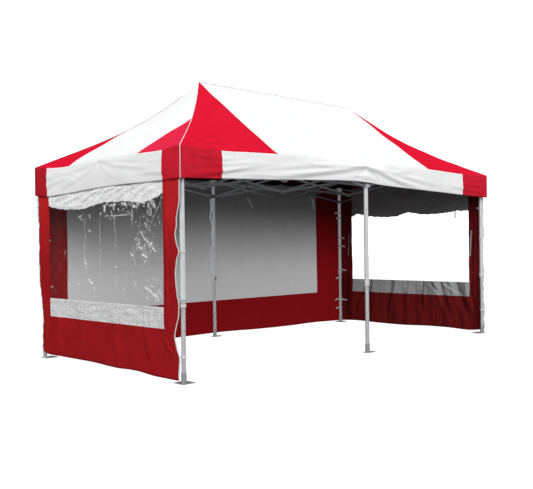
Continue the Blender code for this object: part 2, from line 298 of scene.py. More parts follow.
@dataclass(frozen=True)
class CoatedCloth:
    """Coated polyester: a fine weave under a smooth coat, soft crumples and stitched seams.

    A painted glow stands for the daylight that comes through the cloth to its inner side, more of it low
    down, in upright streaks and lighter on folds that face the daylight.
    """

    name: str
    colour: Colour
    shade: Colour
    roughness: float = 0.46
    crumple: float = 0.0035
    thread: float = 0.0022
    stitch_gap: float = 0.014
    stitch_width: float = 0.0035
    glow: Colour | None = None
    glow_top: float = 2.12
    glow_run: float = 1.35
    glow_least: float = 0.05
    streaks: float = 0.0
    bottom_darkening: float = 0.0
    darkening_top: float = 2.1
    darkening_run: float = 1.0
    streak_top: float = 1.0
    sharp: float = 0.0
    facing_glow: float = 0.0
    weave_depth: float = 0.00012
    stitch_depth: float = 0.0012
    second_row: float = 2.4
    lumps_a_metre: float = 5.0
    creases_a_metre: float = 34.0
    fine_share: float = 0.28

    def build(self) -> bpy.types.Material:
        """Makes it. The mesh's seam value is the distance to the nearest seam or hem.

        Returns:
            The material.
        """
        recipe = Recipe(self.name)
        x, y, z = recipe.axes()
        turns = 2 * math.pi / self.thread
        weave = abs((x * turns).sine()) + abs((y * turns).sine()) + abs((z * turns).sine())
        lumps = recipe.noise(self.lumps_a_metre, 4.0)
        fine = recipe.noise(self.creases_a_metre)
        seam = recipe.mark("seam")
        stitch = (seam.near(self.stitch_gap, self.stitch_width)
                  + seam.near(self.second_row * self.stitch_gap, self.stitch_width)).held()
        relief = recipe.bump(weave, self.weave_depth)
        relief = recipe.bump(lumps, self.crumple, relief)
        relief = recipe.bump(fine, self.crumple * self.fine_share, relief)
        relief = recipe.bump(1 - stitch, self.stitch_depth, relief)
        cloudy = ((lumps - 0.35) * 2.2).held()
        tint = recipe.blend(cloudy * 0.55 + fine * 0.15, self.colour, self.shade)
        tint = recipe.blend(stitch * 0.35, tint, self.shade)
        if self.sharp:
            relief = recipe.bump(self.ridges(recipe, fine), self.sharp, relief)
            # Painted shade: dark lines in the sharp creases' hollows.
            tint = recipe.blend(self.painted_crease_shade(recipe, lumps) * 0.40, tint, HOLLOW_SHADE)
        if self.bottom_darkening:
            # The colour is made darker towards the bottom.
            darkening_share = recipe.downward(z, self.darkening_top, self.darkening_run) * self.bottom_darkening
            tint = recipe.blend(darkening_share, tint, BLACK)
        if self.glow is not None:
            recipe.glow(self.through(recipe, z, lumps).held(), self.glow)
        return recipe.dress({"Base Color": tint, "Roughness": fine * 0.14 + (self.roughness - 0.07),
                             "Specular IOR Level": 0.0, "Normal": relief})

    def ridges(self, recipe: Recipe, fine: Wire) -> Wire:
        """Sharp broken creases of cloth that was folded small."""
        return recipe.noise(11.0, 5.0, (1, 1, 1.5)).near(0.5, 0.05) * ((fine - 0.36) * 5).held()

    def painted_crease_shade(self, recipe: Recipe, lumps: Wire) -> Wire:
        """Painted shade: dark lines where the creases' depths fall in shade."""
        return recipe.noise(15.0, 4.0, (1.2, 1.2, 1)).near(0.47, 0.022) * ((lumps - 0.40) * 5).held()

    def through(self, recipe: Recipe, height: Wire, lumps: Wire) -> Wire:
        """How much daylight comes through.

        Args:
            recipe: The material's recipe.
            height: The height over the ground.
            lumps: The cloth's soft lumps.

        Returns:
            The share of the full glow.
        """
        lit = recipe.downward(height, self.glow_top, self.glow_run) * (1 - self.glow_least) + self.glow_least
        through = lit * (0.86 + 0.28 * lumps)
        if self.streaks:
            # Painted light and shade in upright streaks low on the wall, standing in for its folds.
            streak = ((recipe.noise(5.0, 2.0, (1, 1, 0.10)) - 0.5) * 5 + 0.5).held()
            low = recipe.downward(height, self.streak_top, 0.2) * self.streaks
            through = through * (1 - low + low * 1.9 * streak)
        if self.facing_glow:
            # Painted light and shade on folds: the glow is lighter where a fold faces the daylight, darker
            # where it faces away. A flat end wall looks along X, so that it keeps its plain glow.
            turned = recipe.toward(DAYLIGHT_FROM) - abs(DAYLIGHT_FROM[0])
            through = through * (1 + turned * self.facing_glow).held()
        return through


@dataclass(frozen=True)
class ClearFilm:
    """Soft clear plastic, white, with glints painted on its creases and crinkle lines."""

    name: str = "window_film"
    colour: Colour = srgb(250, 251, 252)
    haze: float = 0.014
    glint: float = 0.95

    def build(self) -> bpy.types.Material:
        """Makes it. On the mesh, crease is 1 on a crease and patch is 1 where the film is crinkled.

        Returns:
            The material.
        """
        recipe = Recipe(self.name)
        crease = recipe.mark("crease")
        patch = recipe.mark("patch")
        clouds = recipe.noise(3.2, 3.0, (1, 1, 0.5))
        scuffs = recipe.noise(70.0, 2.0, (1, 1, 0.25))
        broken = ((recipe.noise(26.0, 2.0) - 0.47) * 7).held()
        thin = recipe.noise(13.0, 5.0).near(0.5, 0.018)
        crinkle_glints = thin * broken * patch * 0.8
        dashes = ((recipe.noise(34.0, 2.0, (0.4, 0.4, 1)) - 0.40) * 6).held()
        # Painted glints: creases and crinkle lines turn opaque white and glow.
        bright = (crease * (0.22 + 0.78 * dashes) + crinkle_glints * 1.4).held()
        relief = recipe.bump(recipe.noise(9.0, 3.0), 0.004)
        opacity = clouds * self.haze + scuffs * 0.008 + bright * self.glint
        recipe.glow(bright, grey(0.22))
        material = recipe.dress({"Base Color": self.colour, "Roughness": scuffs * 0.16 + 0.12,
                                 "Alpha": opacity.held(), "Specular IOR Level": 0.12, "Normal": relief})
        material.surface_render_method = "BLENDED"
        return material


@dataclass(frozen=True)
class DrawnAluminium:
    """Satin anodised tube or bar with drawing lines along its length and rubbed patches.

    Its daylight is a faint glow on the sides that look out of the open front, for pieces deep in the tent.
    """

    name: str
    colour: Colour
    roughness: float = 0.34
    grain: Triple = (1.0, 1.0, 0.02)
    daylight: float = 0.0
    daylight_end: float = 9.0
    daylight_run: float = 1.6
    lines_a_metre: float = 420.0
    line_depth: float = 0.00008

    def base(self) -> tuple[Recipe, Wire, Wire, Wire]:
        """What every aluminium piece shares.

        Returns:
            The recipe with its colour, roughness and relief.
        """
        recipe = Recipe(self.name)
        lines = recipe.noise(self.lines_a_metre, 2.0, self.grain)
        rubs = recipe.noise(11.0, 4.0)
        worn = ((rubs - 0.52) * 5).held()
        tint = recipe.blend(lines * 0.35 + worn * 0.25, self.colour, srgb(166, 170, 176))
        rough = lines * 0.12 + (self.roughness - 0.05) - worn * 0.08
        relief = recipe.bump(lines, self.line_depth)
        if self.daylight:
            x, _, _ = recipe.axes()
            deep = recipe.downward(x, self.daylight_end, -self.daylight_run)
            facing = recipe.toward(DAYLIGHT_FROM) * 0.95 + 0.05
            recipe.glow(facing * (1 - 0.85 * deep) * self.daylight, tint)
        return recipe, tint, rough, relief

    def build(self) -> bpy.types.Material:
        """The plain material."""
        recipe, tint, rough, relief = self.base()
        return recipe.dress({"Base Color": tint, "Roughness": rough, "Metallic": 0.15, "Normal": relief})


@dataclass(frozen=True)
class LegTube(DrawnAluminium):
    """The upper leg tube, whose locking knob is black plastic and whose bracket is cast."""

    knob_inside: float = 1.4005
    knob_height: float = 0.895
    knob_half: float = 0.04
    bracket_low: float = 2.35

    def build(self) -> bpy.types.Material:
        """Makes it, and picks out the knob and the bracket by their place.

        Returns:
            The material.
        """
        recipe, tint, rough, relief = self.base()
        _, y, z = recipe.axes()
        knob = (abs(y) < self.knob_inside) * (abs(z - self.knob_height) < self.knob_half)
        cast = z > self.bracket_low
        tint = recipe.blend(cast, tint, srgb(150, 153, 158))
        tint = recipe.blend(knob, tint, srgb(26, 26, 28))
        rough = rough + cast * 0.18 + knob * 0.12
        return recipe.dress({"Base Color": tint, "Roughness": rough, "Metallic": (1 - knob) * 0.2,
                             "Normal": relief})


@dataclass(frozen=True)
class FootTube(DrawnAluminium):
    """The lower leg tube on its plated steel sleeve and foot plate, dusty near the ground."""

    sleeve_top: float = 0.119
    dust_top: float = 0.10

    def build(self) -> bpy.types.Material:
        """Makes it, and turns it to plated steel below the sleeve's top.

        Returns:
            The material.
        """
        recipe, tint, rough, relief = self.base()
        _, _, z = recipe.axes()
        steel = z < self.sleeve_top
        spangle = recipe.node("TexVoronoi", {}, {"Vector": recipe.place(), "Scale": 160.0}, "Distance")
        dust = ((self.dust_top - z) * 9).held() * recipe.noise(60.0)
        plated = recipe.blend(spangle, srgb(150, 154, 158), srgb(184, 187, 190))
        tint = recipe.blend(steel, tint, plated)
        tint = recipe.blend(dust * 0.8, tint, srgb(120, 112, 100))
        return recipe.dress({"Base Color": tint, "Roughness": rough + steel * 0.10 + dust * 0.3,
                             "Metallic": 0.25 - dust * 0.2, "Normal": relief})


@dataclass(frozen=True)
class MouldedPlastic:
    """Injection-moulded plastic with a fine spark texture."""

    name: str
    colour: Colour
    roughness: float = 0.48

    def build(self) -> bpy.types.Material:
        """Makes it.

        Returns:
            The material.
        """
        recipe = Recipe(self.name)
        grain = recipe.noise(900.0, 2.0)
        stain = recipe.noise(14.0, 3.0)
        tint = recipe.blend(stain * 0.5, self.colour, darker(self.colour, 0.72))
        return recipe.dress({"Base Color": tint, "Roughness": grain * 0.15 + (self.roughness - 0.07),
                             "Normal": recipe.bump(grain, 0.00015)})


@dataclass(frozen=True)
class Webbing:
    """Woven tape with ribs across it."""

    name: str
    colour: Colour
    rib: float = 0.004
    glow: float = 0.0

    def build(self) -> bpy.types.Material:
        """Makes it.

        Returns:
            The material.
        """
        recipe = Recipe(self.name)
        x, y, z = recipe.axes()
        turns = 2 * math.pi / self.rib
        ribs = abs((z * turns).sine()) + 0.4 * abs(((x + y) * turns * 1.7).sine())
        wear = recipe.noise(40.0, 3.0)
        tint = recipe.blend(wear * 0.6, self.colour, darker(self.colour, 0.70))
        if self.glow:
            recipe.glow(self.glow, tint)
        return recipe.dress({"Base Color": tint, "Roughness": 0.78, "Sheen Weight": 0.2,
                             "Normal": recipe.bump(ribs, 0.0004)})


@dataclass(frozen=True)
class SeamPiping:
    """A welded piping cord, plain or with a broken coloured thread."""

    name: str
    colour: Colour
    thread: Colour
    dash: float = 0.16

    def build(self) -> bpy.types.Material:
        """Makes it.

        Returns:
            The material.
        """
        recipe = Recipe(self.name)
        x, _, _ = recipe.axes()
        wave = (x * (2 * math.pi / self.dash)).sine() + recipe.noise(6.0) * 2 - 1.1
        tint = recipe.blend((wave * 3).held(), self.colour, self.thread)
        return recipe.dress({"Base Color": tint, "Roughness": 0.42,
                             "Normal": recipe.bump(recipe.noise(120.0), 0.0004)})


@dataclass(frozen=True)
class Palette:
    """All finishes of the marquee, each built once."""

    # One sheet, painted as lit and shaded copies: the slopes get a darker white and the valance a lighter
    # one, and the valance its own red, to offset how much light each gets.
    white_roof: CoatedCloth = CoatedCloth("white_roof_cloth", srgb(239, 239, 239), srgb(228, 229, 230))
    white_valance: CoatedCloth = CoatedCloth("white_valance_cloth", srgb(252, 252, 252), srgb(238, 239, 240))
    red_roof: CoatedCloth = CoatedCloth("red_roof_cloth", srgb(217, 27, 54), srgb(202, 20, 44))
    # A lighter, pinker copy of the roof red for the end slopes' front strips: a painted sky sheen.
    red_end: CoatedCloth = CoatedCloth("red_end_cloth", srgb(223, 44, 74), srgb(210, 36, 64))
    red_valance: CoatedCloth = CoatedCloth("red_valance_cloth", srgb(214, 38, 58), srgb(196, 28, 46))
    # A darker copy of the valance red for the end valances' back corners: painted shade.
    red_corner: CoatedCloth = CoatedCloth("shaded_red_back_corner_cloth", srgb(190, 36, 46), srgb(174, 28, 38))
    # The cover's underside is painted dark grey, and dark red under the red cloth, for the shade under the
    # roof.
    roof_lining: CoatedCloth = CoatedCloth("shaded_roof_underside_cloth", srgb(56, 57, 60), srgb(44, 45, 48), 0.6)
    red_lining: CoatedCloth = CoatedCloth("dark_red_lining", srgb(80, 10, 17), srgb(66, 8, 13), 0.6)
    white_wall: CoatedCloth = CoatedCloth("white_wall_cloth", srgb(248, 248, 248), srgb(232, 233, 234),
                                          bottom_darkening=0.24)
    white_head: CoatedCloth = CoatedCloth("creased_head_cloth", srgb(255, 255, 255), srgb(244, 245, 246),
                                          crumple=0.0055, sharp=0.0042)
    white_band: CoatedCloth = CoatedCloth("creased_band_cloth", srgb(252, 252, 252), srgb(236, 237, 239),
                                          crumple=0.006, bottom_darkening=0.22, sharp=0.005)
    red_wall: CoatedCloth = CoatedCloth("red_wall_cloth", srgb(200, 40, 45), srgb(180, 33, 38), 0.5, 0.004,
                                        bottom_darkening=0.37)
    # The walls' inner sides: a greyed white and a darkened red stand for the shade inside the tent, and a
    # painted glow for daylight through the cloth; the shaded copies, for the right wall, have less glow.
    wall_inside: CoatedCloth = CoatedCloth("white_wall_inside", srgb(150, 151, 152), srgb(132, 133, 135),
                                           0.55, glow=grey(0.275))
    red_inside: CoatedCloth = CoatedCloth("red_wall_inside", srgb(120, 18, 24), srgb(100, 15, 19), 0.55,
                                          glow=(0.09, 0.002, 0.003, 1.0))
    shaded_inside: CoatedCloth = CoatedCloth("white_shaded_inside", srgb(146, 147, 148), srgb(128, 129, 131),
                                             0.55, glow=grey(0.088), streaks=0.95, facing_glow=2.4)
    red_shaded: CoatedCloth = CoatedCloth("red_shaded_inside", srgb(100, 24, 26), srgb(84, 20, 22), 0.55,
                                          glow=(0.030, 0.002, 0.002, 1.0), streaks=1.0, facing_glow=2.6)
    film: ClearFilm = ClearFilm()
    leg: LegTube = LegTube("leg_aluminium", srgb(234, 236, 239))
    foot: FootTube = FootTube("foot_aluminium", srgb(212, 214, 217))
    # Copies of the leg finishes for the back legs, with painted daylight on the sides facing the open front.
    back_leg: LegTube = LegTube("back_leg_aluminium", srgb(222, 224, 227), daylight=0.24)
    back_foot: FootTube = FootTube("back_foot_aluminium", srgb(212, 214, 217), daylight=0.18)
    # The bars are a darker grey than the legs for the shade under the roof, with painted daylight on the
    # sides that face the open front, fading towards the right end.
    bar: DrawnAluminium = DrawnAluminium("bar_aluminium", srgb(128, 130, 134), 0.38, (0.04, 0.04, 1.0), 0.26,
                                         0.4)
    mast: DrawnAluminium = DrawnAluminium("mast_aluminium", srgb(205, 208, 212), daylight=0.12)
    rivet: DrawnAluminium = DrawnAluminium("rivet_steel", srgb(176, 179, 184), 0.28, (1.0, 1.0, 1.0))
    block: MouldedPlastic = MouldedPlastic("grey_block_plastic", srgb(196, 198, 200))
    # Near black for the discs that stand for the pin and peg holes: painted shade of their depths.
    dark: MouldedPlastic = MouldedPlastic("hole_shade_discs", srgb(22, 22, 24), 0.7)
    tape: Webbing = Webbing("white_tape", srgb(232, 233, 234))
    lit_tape: Webbing = Webbing("tape_in_the_light", srgb(226, 227, 228), glow=0.32)
    dim_tape: Webbing = Webbing("tape_in_the_shade", srgb(190, 191, 193), glow=0.13)
    grey_tape: Webbing = Webbing("grey_tape", srgb(158, 160, 163))
    piping: SeamPiping = SeamPiping("white_piping", srgb(236, 237, 238), srgb(214, 216, 218))
    ridge: SeamPiping = SeamPiping("ridge_piping", srgb(206, 200, 202), srgb(206, 84, 104))
    # The white piping painted grey for the back hips, which are seen on their shaded side.
    back_piping: SeamPiping = SeamPiping("back_piping", srgb(118, 114, 116), srgb(120, 84, 90))

    def get(self, name: str) -> bpy.types.Material:
        """The built material of a finish, made at its first use."""
        finish = getattr(self, name)
        return bpy.data.materials.get(finish.name) or finish.build()


PALETTE = Palette()


class Face(Enum):
    """The four sides of the tent, by the way along them seen from outside and the way out."""

    FRONT = ((1, 0), (0, -1))
    RIGHT = ((0, 1), (1, 0))
    BACK = ((-1, 0), (0, 1))
    LEFT = ((0, -1), (-1, 0))

    @property
    def long(self) -> bool:
        """Whether it is one of the two long sides."""
        return self in (Face.FRONT, Face.BACK)

    def place(self, along: Array, out: Array, level: Array) -> Array:
        """Turns measures on a side into world points.

        Args:
            along: Places along the side.
            out: Distances out from the tent's middle.
            level: Heights.

        Returns:
            The points.
        """
        (ax, ay), (ox, oy) = self.value
        along, out, level = np.broadcast_arrays(along, out, level)
        return np.stack([along * ax + out * ox, along * ay + out * oy, level], axis=-1)


@dataclass(frozen=True)
class Outline:
    """A smooth curve through a few measured points, flat beyond its ends."""

    points: tuple[Point, ...]

    def at(self, where: Array) -> Array:
        """Reads the curve.

        Args:
            where: Places along it.

        Returns:
            Its heights there.
        """
        x = np.array([p[0] for p in self.points])
        y = np.array([p[1] for p in self.points])
        slope = np.gradient(y, x)
        held = np.clip(where, x[0], x[-1])
        i = np.clip(np.searchsorted(x, held) - 1, 0, len(x) - 2)
        run = x[i + 1] - x[i]
        t = (held - x[i]) / run
        return ((1 + 2 * t) * (1 - t) ** 2 * y[i] + t * (1 - t) ** 2 * run * slope[i]
                + t * t * (3 - 2 * t) * y[i + 1] + t * t * (t - 1) * run * slope[i + 1])

    def mirrored(self) -> "Outline":
        """The curve turned end for end."""
        return Outline(tuple((-x, y) for x, y in reversed(self.points)))


@dataclass(frozen=True)
class Fold:
    """A soft ridge in a sheet with a hollow below it, along a bent line of (along, height) points."""

    path: tuple[Point, ...]
    width: float = 0.04
    height: float = 0.008
    open_start: bool = False

    def measure(self, along: Array, level: Array) -> tuple[Array, Array]:
        """Measures points from the fold's line.

        Args:
            along: Places along the side.
            level: Heights.

        Returns:
            Signed distances to the line, and how far along it the nearest point is, from 0 to 1.
        """
        points = np.array(self.path)
        steps = np.hypot(*np.diff(points, axis=0).T)
        reached = np.concatenate([[0.0], np.cumsum(steps)])
        best = np.full(along.shape, np.inf)
        signed = np.zeros(along.shape)
        run = np.zeros(along.shape)
        for k, step in enumerate(steps):
            tangent = (points[k + 1] - points[k]) / step
            dx, dz = along - points[k, 0], level - points[k, 1]
            t = np.clip(dx * tangent[0] + dz * tangent[1], 0.0, step)
            away = np.hypot(dx - t * tangent[0], dz - t * tangent[1])
            nearer = away < best
            best = np.where(nearer, away, best)
            side = np.sign(tangent[0] * dz - tangent[1] * dx) * np.sign(tangent[0] + TINY)
            signed = np.where(nearer, away * side, signed)
            run = np.where(nearer, (reached[k] + t) / reached[-1], run)
        return signed, run

    def at(self, along: Array, level: Array) -> Array:
        """How far the sheet stands out.

        Args:
            along: Places along the side.
            level: Heights.

        Returns:
            The distances.
        """
        away, run = self.measure(along, level)
        fade = smooth((1 - run) / 0.45)
        if not self.open_start:
            fade = fade * smooth(run / 0.35)
        ridge = np.exp(-(away / self.width) ** 2)
        hollow = np.exp(-((away + 1.35 * self.width) / self.width) ** 2)
        return self.height * fade * (ridge - 0.55 * hollow)

    def mirrored(self) -> "Fold":
        """The fold on the other half of the side."""
        return Fold(tuple((-x, z) for x, z in self.path), self.width, self.height, self.open_start)


def total_of(folds: Iterable["Fold | Crumple"], along: Array, level: Array) -> Array:
    """How far a sheet stands out by some folds and crumples together."""
    return sum((fold.at(along, level) for fold in folds), np.zeros(np.broadcast(along, level).shape))


@dataclass(frozen=True)
class Crumple:
    """Gentle unevenness of a sheet: crossing waves with seeded directions."""

    seed: int
    height: float
    shortest: float = 0.18
    longest: float = 0.7
    upright: float = 1.0
    count: int = 16

    def at(self, along: Array, level: Array) -> Array:
        """How far the sheet stands out.

        Args:
            along: Places along the side.
            level: Heights.

        Returns:
            The distances.
        """
        rng = np.random.default_rng(self.seed)
        total = np.zeros(np.broadcast(along, level).shape)
        for _ in range(self.count):
            turn = rng.uniform(0, math.pi)
            wave = 2 * math.pi / rng.uniform(self.shortest, self.longest)
            start = rng.uniform(0, 2 * math.pi)
            total += np.sin(wave * (along * math.cos(turn) * self.upright + level * math.sin(turn)) + start)
        return self.height * total / math.sqrt(self.count)


class Mesher:
    """Collects grids of points into one welded sheet and makes an object of it."""

    def __init__(self) -> None:
        """Starts with nothing."""
        self.points: list[Array] = []
        self.marks: list[Array] = []
        self.faces: list[Array] = []
        self.tints: list[Array] = []
        self.count = 0

    def add(self, grid: Array, tints: Array, marks: Array, keep: Array | None = None) -> None:
        """Adds a grid of points.

        Args:
            grid: Points in rows from the top down, each row from left to right seen from outside.
            tints: The material number of each cell.
            marks: A value for each point, such as its distance to a seam.
            keep: Which cells are kept, if not all.
        """
        rows, columns = grid.shape[:2]
        index = np.arange(rows * columns).reshape(rows, columns) + self.count
        cells = np.stack([index[:-1, :-1], index[1:, :-1], index[1:, 1:], index[:-1, 1:]], axis=-1)
        wanted = np.ones(tints.shape, bool) if keep is None else keep
        self.points.append(grid.reshape(-1, 3))
        self.marks.append(np.broadcast_to(marks, (rows, columns)).reshape(-1))
        self.faces.append(cells[wanted])
        self.tints.append(tints[wanted])
        self.count += rows * columns

    def build(self, name: str, finishes: Sequence[str], mark: str, thick: float = 0.0,
              lined: bool = False) -> bpy.types.Object:
        """Makes the object.

        Args:
            name: Its name.
            finishes: The finishes its material numbers stand for, the lining's after the outer ones.
            mark: The name of the value kept on its points.
            thick: The cloth's thickness, laid inwards.
            lined: Whether the inner side uses the second half of the finishes.

        Returns:
            The object, with unused points gone and points in one place made one.
        """
        points = np.concatenate(self.points)
        marks = np.concatenate(self.marks)
        faces = np.concatenate(self.faces)
        tints = np.concatenate(self.tints)
        _, first, index = np.unique(np.round(points * WELDS_A_METRE).astype(np.int64), axis=0,
                                    return_index=True, return_inverse=True)
        faces = index.reshape(-1)[faces]
        rings, numbers = [], []
        for face, tint in zip(faces.tolist(), tints.tolist()):
            ring = list(dict.fromkeys(face))
            if len(ring) > 2:
                rings.append(ring)
                numbers.append(tint)
        used = np.unique(np.array([v for ring in rings for v in ring]))
        renumber = np.full(len(first), -1)
        renumber[used] = np.arange(len(used))
        mesh = bpy.data.meshes.new(name)
        mesh.from_pydata(points[first[used]].tolist(), [], [[int(renumber[v]) for v in r] for r in rings])
        mesh.polygons.foreach_set("material_index", numbers)
        layer = mesh.attributes.new(mark, "FLOAT", "POINT")
        layer.data.foreach_set("value", marks[first[used]].astype(np.float32))
        for finish in finishes:
            mesh.materials.append(PALETTE.get(finish))
        mesh.shade_smooth()
        made = bpy.data.objects.new(name, mesh)
        bpy.context.scene.collection.objects.link(made)
        if thick:
            shell = made.modifiers.new("thickness", "SOLIDIFY")
            shell.thickness = thick
            shell.offset = -1
            shell.use_even_offset = True
            shell.material_offset = len(finishes) // 2 if lined else 0
        return made


def object_of(name: str, bm: bmesh.types.BMesh, finishes: Sequence[str], smooth_angle: float = 40.0
              ) -> bpy.types.Object:
    """Turns a bmesh into an object.

    Args:
        name: Its name.
        bm: The bmesh, which is freed.
        finishes: Its finishes.
        smooth_angle: The angle in degrees over which an edge stays sharp.

    Returns:
        The object.
    """
    mesh = bpy.data.meshes.new(name)
    bm.to_mesh(mesh)
    bm.free()
    for finish in finishes:
        mesh.materials.append(PALETTE.get(finish))
    mesh.shade_smooth()
    mesh.set_sharp_from_angle(angle=math.radians(smooth_angle))
    made = bpy.data.objects.new(name, mesh)
    bpy.context.scene.collection.objects.link(made)
    return made


def ribbon(bm: bmesh.types.BMesh, path: Sequence[Vector], across: Sequence[Vector], thick: float) -> None:
    """Adds a closed flat tape to a bmesh.

    Args:
        bm: Where it goes.
        path: The points of its middle line.
        across: Half its width at each point, as a vector to its edge.
        thick: Its thickness.
    """
    rings = []
    corners = ((-1, -1), (1, -1), (1, 1), (-1, 1))
    for k, (point, edge) in enumerate(zip(path, across)):
        ahead = path[min(k + 1, len(path) - 1)] - path[max(k - 1, 0)]
        lift = ahead.cross(edge).normalized() * thick / 2
        rings.append([bm.verts.new(point + a * edge + b * lift) for a, b in corners])
    for one, two in zip(rings, rings[1:]):
        for k in range(4):
            bm.faces.new((one[k], one[(k + 1) % 4], two[(k + 1) % 4], two[k]))
    bm.faces.new(rings[0][::-1])
    bm.faces.new(rings[-1])
    bmesh.ops.recalc_face_normals(bm, faces=bm.faces[:])


def cord_tube(name: str, lines: Sequence[Sequence[Vector]], radius: float, finish: str) -> bpy.types.Object:
    """Makes one object of round cords.

    Args:
        name: Its name.
        lines: The points of each cord.
        radius: Their radius.
        finish: Their finish.

    Returns:
        The object.
    """
    curve = bpy.data.curves.new(name, "CURVE")
    curve.dimensions = "3D"
    curve.bevel_depth = radius
    curve.bevel_resolution = 2
    curve.use_fill_caps = True
    for line in lines:
        spline = curve.splines.new("POLY")
        spline.points.add(len(line) - 1)
        for point, place in zip(spline.points, line):
            point.co = (*place, 1.0)
    curve.materials.append(PALETTE.get(finish))
    made = bpy.data.objects.new(name, curve)
    bpy.context.scene.collection.objects.link(made)
    return made


def settle(piece: bpy.types.Object, body: str = BODY) -> bpy.types.Object:
    """Makes a new piece ride on a body.

    Args:
        piece: The piece.
        body: The body.

    Returns:
        The piece.
    """
    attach(piece, body)
    return piece


